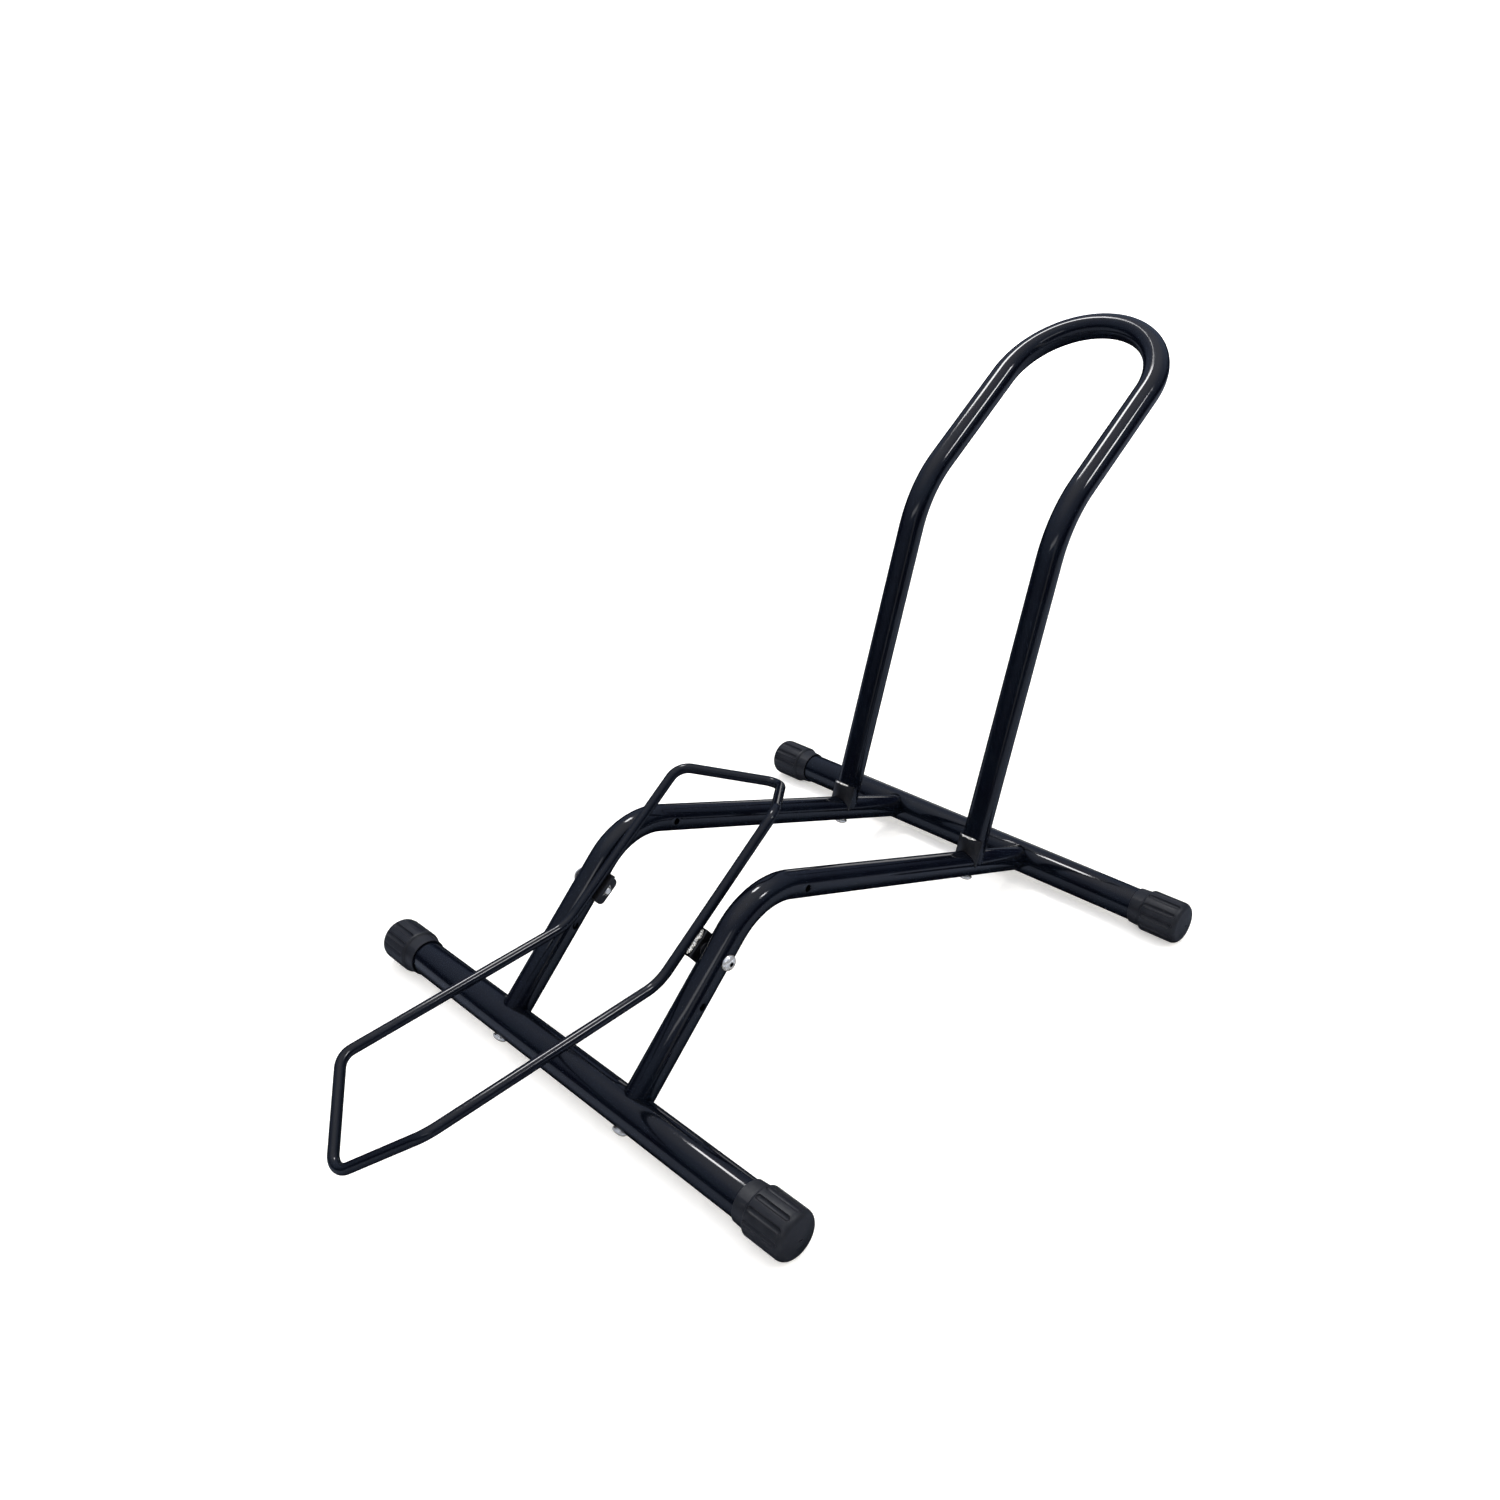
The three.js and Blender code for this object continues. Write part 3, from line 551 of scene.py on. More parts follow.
def cradle_bracket():
    """The right bracket, drawn square to the world about the pivot and then turned to the slope."""
    upright_height = FLANGE_TOP + BRACKET_BELOW_PIVOT
    bpy.ops.object.select_all(action="DESELECT")
    bpy.ops.mesh.primitive_plane_add(
        size=1, location=(bracket_outer, 0, FLANGE_TOP - upright_height / 2), rotation=(0, pi / 2, 0))
    plate = bpy.context.object
    plate.scale = (upright_height, BRACKET_WIDTH, 1)
    apply_place(plate)
    top = FLANGE_TOP - SAME_PLACE
    bottom = SAME_PLACE - BRACKET_BELOW_PIVOT
    outside = bracket_outer - SAME_PLACE
    select_edges(plate, lambda a, b: min(a.z, b.z) > top)
    pull_ring(Vector((bracket_inner - bracket_outer, 0, 0)))
    bpy.ops.object.mode_set(mode="OBJECT")
    face_outward(plate)
    apply_modifier(plate, "SOLIDIFY", thickness=BRACKET_PLATE, offset=-1, use_even_offset=True)
    bevel_edges(
        plate, lambda a, b: max(a.z, b.z) < bottom and abs(a.y - b.y) < SAME_PLACE,
        BRACKET_CORNER_RADIUS, BRACKET_CORNER_STEPS)
    bevel_edges(
        plate, lambda a, b: min(a.z, b.z) > top and min(a.x, b.x) > outside,
        BRACKET_FOLD_RADIUS, BRACKET_FOLD_STEPS)
    hole = Vector((bracket_outer, 0, 0))
    cut(plate, add_rod(hole, ACROSS, PIVOT_HOLE_RADIUS, BRACKET_CUT_LENGTH))
    soften_edges(plate, SHEET_SOFTENING)
    plate.data.transform(Matrix.Translation(pivot) @ Matrix.Rotation(CRADLE_SLOPE, 4, "X"))
    return plate


def mirrored_copy(obj):
    """The same piece for the left side, with its own mesh."""
    select_only(obj)
    bpy.ops.object.duplicate()
    other = bpy.context.object
    other.data.transform(Matrix.Scale(-1, 4, ACROSS))
    other.data.flip_normals()
    return other


right_bracket = cradle_bracket()
left_bracket = mirrored_copy(right_bracket)
for side, plate in (("left", left_bracket), ("right", right_bracket)):
    name, node = f"{side}_cradle_bracket", f"rocker_bracket_{side}"
    finish_piece(plate, name, node, "rocker", "black_powder_coat", plate_coat)


# ---------------------------------------------------------------------------------------------
# Weld beads: one under the outer side of the cradle wire along each bracket, and one on the ledge
# of each gusset. They are left bright and show their ripples.

CRADLE_BEAD_LENGTH = 0.023
CRADLE_BEAD_RADIUS = 0.0018
CRADLE_BEAD_ASIDE = 0.0042
CRADLE_BEAD_LIFT = 0.9 * CRADLE_BEAD_RADIUS
GUSSET_BEAD_RADIUS = 0.0010
GUSSET_BEAD_HALF_ANGLE = radians(34)
GUSSET_BEAD_LIFT = 0.3 * GUSSET_BEAD_RADIUS
BEAD_RIPPLE = 0.0017
BEAD_RINGS_PER_RIPPLE = 6
BEAD_SIDES = 20
BEAD_SWELL = 0.16
BEAD_BLUNT_END = 0.35
BEAD_END_SLOPE = 6
BEAD_WANDER = 0.2
BEAD_WANDER_X = 0.0011
BEAD_WANDER_Y = 0.0017

ledge_radius = RAIL_RADIUS + SEAT_GAP + 0.6 * GUSSET_WALL


def bright_weld():
    """A mild-steel weld bead wiped clean: silvery, rough and rippled, so that it glitters in short
    strokes against the black."""
    material, tree, shader = new_material("mild_steel_weld_bead")
    scale = noise_at(tree, size=0.0012)
    vary(tree, shader, "Base Color", scale, [(0.42, linear("#77766f")), (0.55, linear("#f2f0ea"))])
    shader.inputs["Roughness"].default_value = 0.32
    shader.inputs["Metallic"].default_value = 0.35
    spatter = noise_at(tree, size=0.0008)
    add_relief(tree, shader, spatter, strength=0.5, depth=0.0003)
    return material


weld = bright_weld()


def turned_piece(profile, sides=64):
    """A ring pulled up +Z and scaled from one (radius, height) pair to the next, closed at both ends."""
    bpy.ops.object.select_all(action="DESELECT")
    radius, height = profile[0]
    bpy.ops.mesh.primitive_circle_add(
        vertices=sides, radius=radius, location=(0, 0, height), fill_type="NGON")
    piece = bpy.context.object
    apply_place(piece)
    bpy.ops.object.mode_set(mode="EDIT")
    bpy.ops.mesh.select_mode(type="EDGE")
    bpy.ops.mesh.select_all(action="SELECT")
    for next_radius, next_height in profile[1:]:
        bpy.ops.mesh.extrude_edges_move(
            TRANSFORM_OT_translate={"value": (0, 0, next_height - height)})
        share = next_radius / radius
        bpy.ops.transform.resize(value=(share, share, 1), center_override=(0, 0, next_height))
        radius, height = next_radius, next_height
    bpy.ops.mesh.edge_face_add()
    bpy.ops.object.mode_set(mode="OBJECT")
    face_outward(piece)
    return piece


def turn_from_z(direction):
    """The rotation that takes +Z to a direction."""
    return direction.to_track_quat("Z", "Y").to_matrix().to_4x4()


def weld_bead(length, radius):
    """A rippled bead along Z, centred on the origin, that wanders a little from side to side."""
    rings = ceil(length / (BEAD_RIPPLE / BEAD_RINGS_PER_RIPPLE))
    profile = []
    for k in range(rings + 1):
        share = k / rings
        taper = min(1.0, BEAD_END_SLOPE * min(share, 1 - share) + BEAD_BLUNT_END)
        swell = 1 + BEAD_SWELL * cos(2 * pi * share * length / BEAD_RIPPLE)
        profile.append((radius * taper * swell, (share - 0.5) * length))
    bead = turned_piece(profile, BEAD_SIDES)
    for vertex in bead.data.vertices:
        vertex.co.x += BEAD_WANDER * radius * sin(vertex.co.z / BEAD_WANDER_X)
        vertex.co.y += BEAD_WANDER * radius * sin(vertex.co.z / BEAD_WANDER_Y + 1)
    return bead


def finish_bead(bead, name, body):
    """Smooths a bead, which stands for no CAD node, and fixes it to its body."""
    bead.name = name
    bead.data.name = name
    select_only(bead)
    bpy.ops.object.shade_smooth_by_angle(angle=radians(60))
    bead.data.materials.append(weld)
    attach(bead, body)


for side, sign in (("left", -1), ("right", 1)):
    bead = weld_bead(CRADLE_BEAD_LENGTH, CRADLE_BEAD_RADIUS)
    flange = pivot + sign * (WIRE_X + CRADLE_BEAD_ASIDE) * ACROSS
    spot = flange + off * (FLANGE_TOP + CRADLE_BEAD_LIFT)
    bead.data.transform(Matrix.Translation(spot) @ turn_from_z(along))
    finish_bead(bead, f"{side}_cradle_weld", "rocker")

    ledge = hoop_foot + sign * RAIL_X * ACROSS + leg_axis * (GUSSET_HEIGHT + GUSSET_BEAD_LIFT)
    bead = weld_bead(2 * GUSSET_BEAD_HALF_ANGLE * ledge_radius, GUSSET_BEAD_RADIUS)
    for vertex in bead.data.vertices:
        turn = vertex.co.z / ledge_radius
        outward = leg_forward * cos(turn) + ACROSS * sin(turn)
        reach = ledge_radius + vertex.co.x
        vertex.co = ledge + outward * reach + leg_axis * vertex.co.y
    face_outward(bead)
    finish_bead(bead, f"{side}_gusset_weld", "frame")


# ---------------------------------------------------------------------------------------------
# Bolts: bright zinc-plated button heads with a hexagon socket. M6 pivot bolts stand outboard of
# the rails; M8 bolts come up from under the cross tubes and under the rails at the hoop feet.

PIVOT_HEAD_RADIUS = 0.0068
PIVOT_HEAD_HEIGHT = 0.0042
PIVOT_SOCKET = 0.004
PIVOT_BOLT_LENGTH = 0.0384
FRAME_HEAD_RADIUS = 0.0064
FRAME_HEAD_HEIGHT = 0.0038
FRAME_SOCKET = 0.005
FRAME_BOLT_LENGTH = 0.0246
HOOP_BOLT_LENGTH = 0.0448
SHANK_CHAMFER = 0.0005
BRIM_SHARE = 0.2
DOME_STEP = radians(6)
DOME_STEPS = 11
SOCKET_FLOOR_SHARE = 0.4
SOCKET_EDGE = 0.0003


def bright_zinc():
    """Steel electroplated with bright zinc and passivated: a cool silver with a soft, slightly
    cloudy shine and the faint turning marks of the head."""
    material, tree, shader = new_material("bright_zinc_plate_on_steel")
    clouding = noise_at(tree, size=0.003)
    vary(tree, shader, "Base Color", clouding, [(0.3, linear("#d8d6d0")), (0.7, linear("#f4f2ec"))])
    vary(tree, shader, "Roughness", clouding, [(0.3, grey(0.16)), (0.7, grey(0.28))])
    grain = noise_at(tree, size=0.0006)
    add_relief(tree, shader, grain, strength=0.15, depth=0.0001)
    shader.inputs["Metallic"].default_value = 0.8
    return material


def zinc_with_painted_socket_shade():
    """Painted shade for the inside of a hexagon socket: a darker, rougher zinc that makes a dark grey
    hollow and gives each head its centre."""
    material, _, shader = new_material("zinc_socket_painted_shade")
    shader.inputs["Base Color"].default_value = linear("#3c3d3e")
    shader.inputs["Roughness"].default_value = 0.55
    shader.inputs["Metallic"].default_value = 1.0
    return material


zinc = bright_zinc()
painted_socket_shade = zinc_with_painted_socket_shade()


def button_bolt(shank, length, head, height, socket):
    """A bolt along Z with the underside of its head at the origin."""
    brim = height * BRIM_SHARE
    dome = [DOME_STEP * k for k in range(DOME_STEPS + 1)]
    profile = [(shank - SHANK_CHAMFER, -length), (shank, SHANK_CHAMFER - length)]
    profile += [(shank, 0), (head, 0)]
    profile += [(head * cos(turn), brim + (height - brim) * sin(turn)) for turn in dome]
    bolt = turned_piece(profile)
    socket_corner = socket / sqrt(3)
    key_centre = UP * (height * (1 + SOCKET_FLOOR_SHARE))
    cut(bolt, add_rod(key_centre, UP, socket_corner, height * 2, sides=6))
    bolt.data.materials.append(zinc)
    bolt.data.materials.append(painted_socket_shade)
    crown = max(vertex.co.z for vertex in bolt.data.vertices)
    # Faces inside the socket take the darker zinc, which is painted shade in the recess.
    for polygon in bolt.data.polygons:
        middle = polygon.center
        in_socket = Vector((middle.x, middle.y)).length < socket_corner
        if in_socket and 0 < middle.z < crown - SOCKET_EDGE:
            polygon.material_index = 1
    return bolt


def place_bolt(bolt, spot, shank_along):
    """Turns a bolt drawn along Z so that its shank points along a direction from a spot."""
    bolt.data.transform(Matrix.Translation(spot) @ turn_from_z(-shank_along))


def copy_of(obj):
    select_only(obj)
    bpy.ops.object.duplicate()
    return bpy.context.object


cross_tube_radius = (front_box[1].z - front_box[0].z) / 2
frame_bolt = button_bolt(
    FRAME_BOLT_RADIUS, FRAME_BOLT_LENGTH, FRAME_HEAD_RADIUS, FRAME_HEAD_HEIGHT, FRAME_SOCKET)
hoop_bolt = button_bolt(
    FRAME_BOLT_RADIUS, HOOP_BOLT_LENGTH, FRAME_HEAD_RADIUS, FRAME_HEAD_HEIGHT, FRAME_SOCKET)
pivot_bolt = button_bolt(
    PIVOT_BOLT_RADIUS, PIVOT_BOLT_LENGTH, PIVOT_HEAD_RADIUS, PIVOT_HEAD_HEIGHT, PIVOT_SOCKET)
for side, sign in (("left", -1), ("right", 1)):
    aside = sign * RAIL_X * ACROSS
    for end, centre, run in (("front", front_centre, front_run), ("rear", rear_centre, top_run)):
        bolt = copy_of(frame_bolt)
        place_bolt(bolt, centre + aside - run * (cross_tube_radius + SEAT_GAP), run)
        name = f"frame_bolt_{end}_{side}"
        finish_piece(bolt, f"{end}_{side}_tube_bolt", name, "frame", "zinc_steel")
    bolt = copy_of(hoop_bolt)
    place_bolt(bolt, hoop_foot + aside - leg_axis * (RAIL_RADIUS + SEAT_GAP), leg_axis)
    finish_piece(bolt, f"{side}_foot_bolt", f"hoop_bolt_{side}", "frame", "zinc_steel")
    bolt = copy_of(pivot_bolt)
    place_bolt(bolt, pivot + aside + sign * (RAIL_RADIUS + SEAT_GAP) * ACROSS, -sign * ACROSS)
    finish_piece(bolt, f"{side}_cradle_bolt", f"pivot_bolt_{side}", "frame", "zinc_steel")
for pattern in (frame_bolt, hoop_bolt, pivot_bolt):
    bpy.data.objects.remove(pattern)


# ---------------------------------------------------------------------------------------------
# Locknuts and washers: a zinc-plated M6 nut with a nylon insert inboard of each bracket, and a
# plain nylon washer that keeps the bracket off the rail's paint.

NUT_HEXAGON_SHARE = 0.72
NUT_SEAT_CHAMFER = 0.0006
NUT_TOP_CHAMFER = 0.0007
NUT_TOP_RADIUS = 0.47 * NUT_FLATS
NUT_CORNER_ROOM = 0.0002
COLLAR_RADIUS = 0.46 * NUT_FLATS
COLLAR_IN_HEXAGON = 0.0002
COLLAR_EDGE = ((0, 0.0007), (0.0003, 0.0002), (0.0009, 0))
INSERT_WALL = 0.0006
INSERT_HEIGHT = 0.0008
INSERT_BELOW_TOP = 0.0007
POCKET_WALL = 0.0007
POCKET_CUT = 0.002
INSERT_BORE_CUT = 0.004


def black_nylon():
    """Moulded black nylon: a satin near-black that is lost against the paint, with no grain to see."""
    material, tree, shader = new_material("black_nylon_moulded")
    clouding = noise_at(tree, size=0.004)
    vary(tree, shader, "Base Color", clouding, [(0.3, linear("#141416")), (0.7, linear("#1c1c1e"))])
    shader.inputs["Roughness"].default_value = 0.45
    shader.inputs["IOR"].default_value = 1.53
    return material


nylon = black_nylon()


def lock_nut(height):
    """A nut along Z whose seat is at the origin: chamfered hexagon, rounded collar, nylon insert."""
    hexagon_height = height * NUT_HEXAGON_SHARE
    corner = NUT_FLATS / sqrt(3)
    hexagon = add_rod(UP * (hexagon_height / 2), UP, corner, hexagon_height, sides=6)
    past_corner = corner + NUT_CORNER_ROOM
    chamfer = turned_piece([
        (NUT_FLATS / 2, 0), (past_corner, NUT_SEAT_CHAMFER),
        (past_corner, hexagon_height - NUT_TOP_CHAMFER), (NUT_TOP_RADIUS, hexagon_height)])
    apply_modifier(hexagon, "BOOLEAN", operation="INTERSECT", solver="EXACT", object=chamfer)
    bpy.data.objects.remove(chamfer)
    collar_profile = [(COLLAR_RADIUS, hexagon_height - COLLAR_IN_HEXAGON)]
    collar_profile += [(COLLAR_RADIUS - inset, height - drop) for inset, drop in COLLAR_EDGE]
    collar = turned_piece(collar_profile)
    cut(collar, add_rod(UP * height, UP, PIVOT_HOLE_RADIUS + POCKET_WALL, POCKET_CUT))
    for piece in (hexagon, collar):
        cut(piece, add_rod(UP * (height / 2), UP, PIVOT_HOLE_RADIUS, 2 * height))
    insert_radius = PIVOT_HOLE_RADIUS + INSERT_WALL
    insert = add_rod(UP * (height - INSERT_BELOW_TOP), UP, insert_radius, INSERT_HEIGHT)
    cut(insert, add_rod(UP * height, UP, PIVOT_HOLE_RADIUS, INSERT_BORE_CUT))
    for piece, material in ((hexagon, zinc), (collar, zinc), (insert, nylon)):
        piece.data.materials.append(material)
    select_only(hexagon)
    collar.select_set(True)
    insert.select_set(True)
    bpy.ops.object.join()
    return bpy.context.object


for side, sign in (("left", -1), ("right", 1)):
    nut_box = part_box(f"pivot_nut_{side}")
    seat_x = nut_box[1].x if sign > 0 else nut_box[0].x
    nut = lock_nut(nut_box[1].x - nut_box[0].x)
    place_bolt(nut, Vector((seat_x, pivot.y, pivot.z)), sign * ACROSS)
    finish_piece(nut, f"{side}_cradle_locknut", f"pivot_nut_{side}", "frame", "zinc_steel")

    washer_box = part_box(f"pivot_washer_{side}")
    washer_radius = (washer_box[1].z - washer_box[0].z) / 2
    thickness = washer_box[1].x - washer_box[0].x
    middle = Vector(((washer_box[0].x + washer_box[1].x) / 2, pivot.y, pivot.z))
    washer = add_rod(middle, ACROSS, washer_radius, thickness, sides=64)
    cut(washer, add_rod(middle, ACROSS, PIVOT_HOLE_RADIUS, 4 * thickness))
    soften_edges(washer, SHEET_SOFTENING)
    finish_piece(washer, f"{side}_cradle_washer", f"pivot_washer_{side}", "frame", "washer_nylon", nylon)


# ---------------------------------------------------------------------------------------------
# End caps: thick moulded rubber cups pushed over the ends of the cross tubes. Each has a smooth,
# slightly tapered collar, twelve flutes for grip and a rounded end with a vent slit.

CAP_LENGTH = 0.052
CAP_RADIUS = 0.0203
CAP_BORE = 0.0163
CAP_PAST_TUBE = 0.004
CAP_COLLAR_LENGTH = 0.012
CAP_COLLAR_RADIUS = 0.0181
CAP_LIP_RADIUS = 0.0174
CAP_LIP_EDGE = 0.0004
CAP_STEP = ((0.15, 0.0), (0.5, 0.0004), (0.8, 0.0009), (0.95, 0.0015), (1, 0.0022))
CAP_EDGE_RADIUS = 0.0065
CAP_EDGE_TURN = radians(10)
CAP_CROWN = 0.002
CAP_CROWN_SHARES = (0.75, 0.5, 0.25, 0.08)
CAP_INNER_RADIUS = 0.004
CAP_FLUTES = 12
CAP_FLUTE_RADIUS = 0.0027
CAP_FLUTE_DEPTH = 0.0019
CAP_FLUTE_MARGIN = 0.002
CAP_SLIT_RADIUS = 0.0014
CAP_SLIT_CUT = 0.0024
CAP_SLIT_WIDTH = 0.5
CAP_SLIT_LENGTH = 1.3
CAP_SOFTENING = 0.0004
CAP_SOFTENING_ANGLE = 24
CAP_SIDES = 120


def moulded_rubber():
    """Black rubber from a matt mould: nearly black, dry, with a fine skin that takes a low sheen
    along the edges of the flutes."""
    material, tree, shader = new_material("black_rubber_moulded")
    dust = noise_at(tree, size=0.010)
    vary(tree, shader, "Base Color", dust, [(0.3, linear("#0d0e11")), (0.7, linear("#141519"))])
    vary(tree, shader, "Roughness", dust, [(0.3, grey(0.40)), (0.7, grey(0.52))])
    skin = noise_at(tree, size=0.0008)
    add_relief(tree, shader, skin, strength=0.25, depth=0.0002)
    shader.inputs["IOR"].default_value = 1.5
    return material


rubber = moulded_rubber()


def end_cap():
    """A cap along +Z with its lip at the origin."""
    floor = CAP_LENGTH - CAP_PAST_TUBE + SEAT_GAP
    body_end = CAP_LENGTH - CAP_CROWN - CAP_EDGE_RADIUS
    quarter = [CAP_EDGE_TURN * k for k in range(1, 10)]
    profile = [(CAP_INNER_RADIUS, floor), (CAP_BORE, floor), (CAP_BORE, CAP_LIP_EDGE)]
    profile += [(CAP_BORE + CAP_LIP_EDGE, 0), (CAP_LIP_RADIUS - CAP_LIP_EDGE, 0)]
    profile += [(CAP_LIP_RADIUS, CAP_LIP_EDGE)]
    step = CAP_RADIUS - CAP_COLLAR_RADIUS
    profile += [(CAP_COLLAR_RADIUS, CAP_COLLAR_LENGTH - CAP_LIP_EDGE)]
    profile += [
        (CAP_COLLAR_RADIUS + step * share, CAP_COLLAR_LENGTH + place) for share, place in CAP_STEP]
    profile += [(CAP_RADIUS, body_end)]
    profile += [
        (CAP_RADIUS - CAP_EDGE_RADIUS * (1 - cos(turn)), body_end + CAP_EDGE_RADIUS * sin(turn))
        for turn in quarter]
    flat = CAP_RADIUS - CAP_EDGE_RADIUS
    profile += [(flat * share, CAP_LENGTH - CAP_CROWN * share ** 2) for share in CAP_CROWN_SHARES]
    cap = turned_piece(profile, CAP_SIDES)
    flute_start = CAP_COLLAR_LENGTH + CAP_FLUTE_MARGIN + CAP_FLUTE_RADIUS
    flute_end = body_end + CAP_EDGE_RADIUS / 2 - CAP_FLUTE_RADIUS
    out = CAP_RADIUS - CAP_FLUTE_DEPTH + CAP_FLUTE_RADIUS
    for k in range(CAP_FLUTES):
        angle = 2 * pi * (k + 0.5) / CAP_FLUTES
        aside = Vector((out * cos(angle), out * sin(angle), 0))
        cut(cap, flute_cutter(aside, flute_start, flute_end))
    slit = add_rod(UP * CAP_LENGTH, UP, CAP_SLIT_RADIUS, CAP_SLIT_CUT, sides=24)
    slit.data.transform(Matrix.Diagonal((CAP_SLIT_WIDTH, CAP_SLIT_LENGTH, 1, 1)))
    cut(cap, slit)
    soften_edges(cap, CAP_SOFTENING, angle=CAP_SOFTENING_ANGLE)
    return cap


def flute_cutter(aside, start, end):
    """A round-ended rod along Z: a sphere stretched by moving its upper half."""
    bpy.ops.object.select_all(action="DESELECT")
    bpy.ops.mesh.primitive_uv_sphere_add(segments=24, ring_count=13, radius=CAP_FLUTE_RADIUS)
    cutter = bpy.context.object
    for vertex in cutter.data.vertices:
        vertex.co.z += end if vertex.co.z > 0 else start
        vertex.co += aside
    return cutter


cap_pattern = end_cap()
lip_x = (front_box[1].x - front_box[0].x) / 2 + CAP_PAST_TUBE - CAP_LENGTH
for end, centre in (("front", front_centre), ("rear", rear_centre)):
    for side, sign in (("left", -1), ("right", 1)):
        cap = copy_of(cap_pattern)
        turn = Matrix.Rotation(sign * pi / 2, 4, "Y")
        cap.data.transform(Matrix.Translation(centre + sign * lip_x * ACROSS) @ turn)
        name = f"end_cap_{end}_{side}"
        finish_piece(cap, f"{end}_{side}_rubber_cap", name, "frame", "cap_rubber", rubber)
bpy.data.objects.remove(cap_pattern)


# ---------------------------------------------------------------------------------------------
# Threaded plugs and discs: plain steel turnings fixed inside the tube ends, which the bolts pull
# against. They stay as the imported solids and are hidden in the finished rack.

for node_name, node_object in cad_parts.items():
    if node_name.startswith(("tube_plug", "hoop_nut_disc")):
        node_object.data.materials.clear()
        node_object.data.materials.append(zinc)


# ---------------------------------------------------------------------------------------------
# Floor, light and camera: a round pale sweep that is lit from within, two ceiling lamps that draw
# a pair of thin streaks along the tubes, a weaker lamp in front, and the photograph's angle.

SWEEP_RADIUS = 8.0
SWEEP_HEIGHT = 6.0
SWEEP_CURVE = 2.0
SWEEP_CURVE_STEPS = 16
LAMP_HEIGHT = 2.5
CAMERA_TARGET = Vector((0.0720, -0.12367, 0.2776))
CAMERA_AZIMUTH = radians(46.48)
CAMERA_ELEVATION = radians(26.382)
CAMERA_ROLL = radians(-1.773)
CAMERA_DISTANCE = 0.9845
CAMERA_LENS = 30.667
CAMERA_SENSOR = 36

floor = add_rod(UP * (SWEEP_HEIGHT / 2), UP, SWEEP_RADIUS, SWEEP_HEIGHT, FINE_SIDES)
floor.name = "studio_sweep"
bpy.ops.object.mode_set(mode="EDIT")
bpy.ops.mesh.select_all(action="DESELECT")
bpy.ops.object.mode_set(mode="OBJECT")
for polygon in floor.data.polygons:
    polygon.select = polygon.normal.z > 0.5
bpy.ops.object.mode_set(mode="EDIT")
bpy.ops.mesh.delete(type="FACE")
bpy.ops.object.mode_set(mode="OBJECT")
bevel_edges(floor, lambda a, b: max(a.z, b.z) < SAME_PLACE, SWEEP_CURVE, SWEEP_CURVE_STEPS)
bpy.ops.object.mode_set(mode="EDIT")
bpy.ops.mesh.select_all(action="SELECT")
bpy.ops.mesh.flip_normals()
bpy.ops.object.mode_set(mode="OBJECT")
bpy.ops.object.shade_smooth()
floor.visible_glossy = False

paper, paper_tree, paper_shader = new_material("white_paper_sweep")
paper_place = add_node(paper_tree, "ShaderNodeTexCoord")
paper_reach = add_node(
    paper_tree, "ShaderNodeVectorMath", {0: paper_place.outputs["Object"]}, operation="LENGTH")
paper_share = add_node(
    paper_tree, "ShaderNodeMath", {0: paper_reach.outputs["Value"], 1: SWEEP_RADIUS}, operation="DIVIDE")
paper_glow = ramp(paper_tree, paper_share.outputs["Value"], [(0.15, grey(0.30)), (0.60, grey(0.90))])
paper_tree.links.new(paper_glow.outputs["Color"], paper_shader.inputs["Emission Color"])
paper_shader.inputs["Emission Strength"].default_value = 1.0
paper_shader.inputs["Base Color"].default_value = linear("#f6f3ec")
paper_shader.inputs["Roughness"].default_value = 1.0
floor.data.materials.append(paper)

# The room is dark at eye level and lighter overhead, which gives each tube its dark middle band.
# The floor behind the rack is dark too, so that the lower edge of each tube stays black.
BEHIND_AND_BELOW = Vector((-0.466, 0.442, -0.766))
world = bpy.data.worlds.new("studio")
world.use_nodes = True
world_tree = world.node_tree
direction = add_node(world_tree, "ShaderNodeTexCoord")
height = add_node(world_tree, "ShaderNodeSeparateXYZ", {"Vector": direction.outputs["Generated"]})
half_height = add_node(
    world_tree, "ShaderNodeMath", {0: height.outputs["Z"], 1: 0.5, 2: 0.5}, operation="MULTIPLY_ADD")
sky = ramp(world_tree, half_height.outputs["Value"], [
    (0.10, [0.10, 0.12, 0.17, 1.0]),
    (0.30, [0.38, 0.44, 0.58, 1.0]),
    (0.42, [0.44, 0.50, 0.64, 1.0]),
    (0.47, [0.02, 0.025, 0.05, 1.0]),
    (0.58, [0.02, 0.025, 0.05, 1.0]),
    (0.67, [0.18, 0.22, 0.33, 1.0]),
    (0.85, [0.36, 0.42, 0.58, 1.0]),
    (0.99, [0.85, 0.88, 1.00, 1.0])])
towards = add_node(
    world_tree, "ShaderNodeVectorMath", {0: direction.outputs["Generated"], 1: BEHIND_AND_BELOW},
    operation="DOT_PRODUCT")
shade = ramp(world_tree, towards.outputs["Value"], [(0.50, grey(1.0)), (0.80, grey(0.05))])
shaded_sky = add_node(
    world_tree, "ShaderNodeVectorMath", {0: sky.outputs["Color"], 1: shade.outputs["Color"]},
    operation="MULTIPLY")
world_tree.links.new(shaded_sky.outputs["Vector"], world_tree.nodes["Background"].inputs["Color"])
bpy.context.scene.world = world
bpy.context.scene.view_settings.view_transform = "Standard"


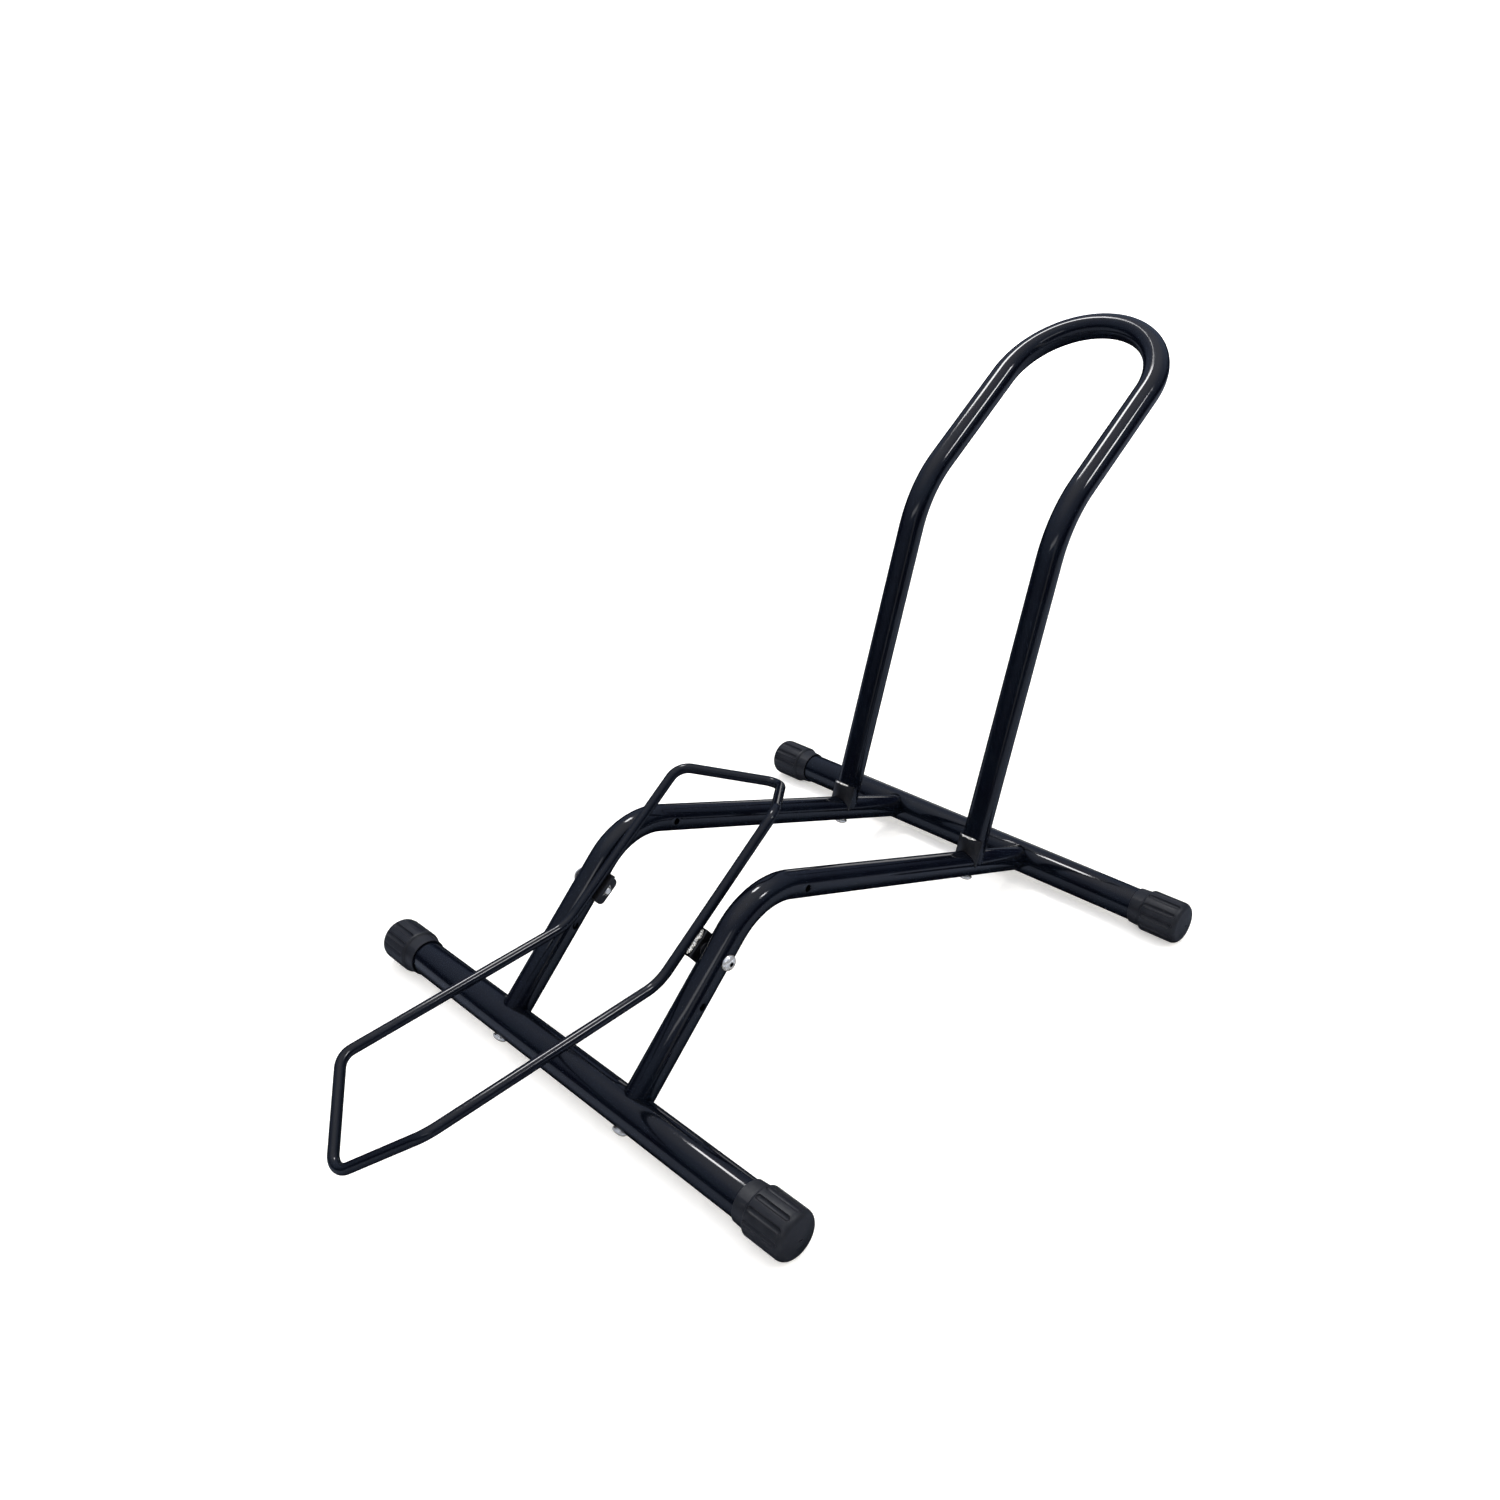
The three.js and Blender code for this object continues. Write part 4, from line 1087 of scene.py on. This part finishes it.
def soft_light(name, place, aim, width, length, power, in_reflections=True):
    """A rectangular lamp at a place, turned towards a point, that the camera doesn't see."""
    data = bpy.data.lights.new(name, "AREA")
    data.shape = "RECTANGLE"
    data.size = width
    data.size_y = length
    data.energy = power
    light = bpy.data.objects.new(name, data)
    light.location = place
    light.rotation_euler = (Vector(aim) - Vector(place)).to_track_quat("-Z", "Y").to_euler()
    light.visible_glossy = in_reflections
    light.visible_camera = False
    bpy.context.scene.collection.objects.link(light)


soft_light("left_ceiling_lamp", (-0.9, 0.5, LAMP_HEIGHT), (-0.9, 0.5, 0), 0.56, 0.42, 17)
soft_light("right_ceiling_lamp", (2.2, 0.9, LAMP_HEIGHT), (2.2, 0.9, 0), 0.45, 0.45, 18)
soft_light("front_lamp", (2.0, -3.1, LAMP_HEIGHT), (0, 0, 0.1), 2.4, 0.45, 6.8)
soft_light("right_wall_glow", (3.5, -1.9, 1.1), (0, 0, 0.2), 0.8, 2.0, 1.8)
soft_light("back_wall_glow", (-1.9, 3.5, 0.5), (0, 0, 0.2), 1.5, 0.7, 3.3)
soft_light("overhead_wash", (0.6, -0.6, 4.5), (0, 0, 0), 5.0, 5.0, 45, in_reflections=False)

back = Vector((
    sin(CAMERA_AZIMUTH) * cos(CAMERA_ELEVATION),
    -cos(CAMERA_AZIMUTH) * cos(CAMERA_ELEVATION),
    sin(CAMERA_ELEVATION)))
right = (-back).cross(UP).normalized()
up = right.cross(-back)
rolled_right = right * cos(CAMERA_ROLL) + up * sin(CAMERA_ROLL)
rolled_up = up * cos(CAMERA_ROLL) - right * sin(CAMERA_ROLL)
camera_data = bpy.data.cameras.new("photo_camera")
camera_data.lens = CAMERA_LENS
camera_data.sensor_width = CAMERA_SENSOR
camera_data.clip_start = 0.02
camera_data.clip_end = 60
camera = bpy.data.objects.new("photo_camera", camera_data)
facing = Matrix((rolled_right, rolled_up, back)).transposed().to_4x4()
camera.matrix_world = Matrix.Translation(CAMERA_TARGET + back * CAMERA_DISTANCE) @ facing
bpy.context.scene.collection.objects.link(camera)
bpy.context.scene.camera = camera
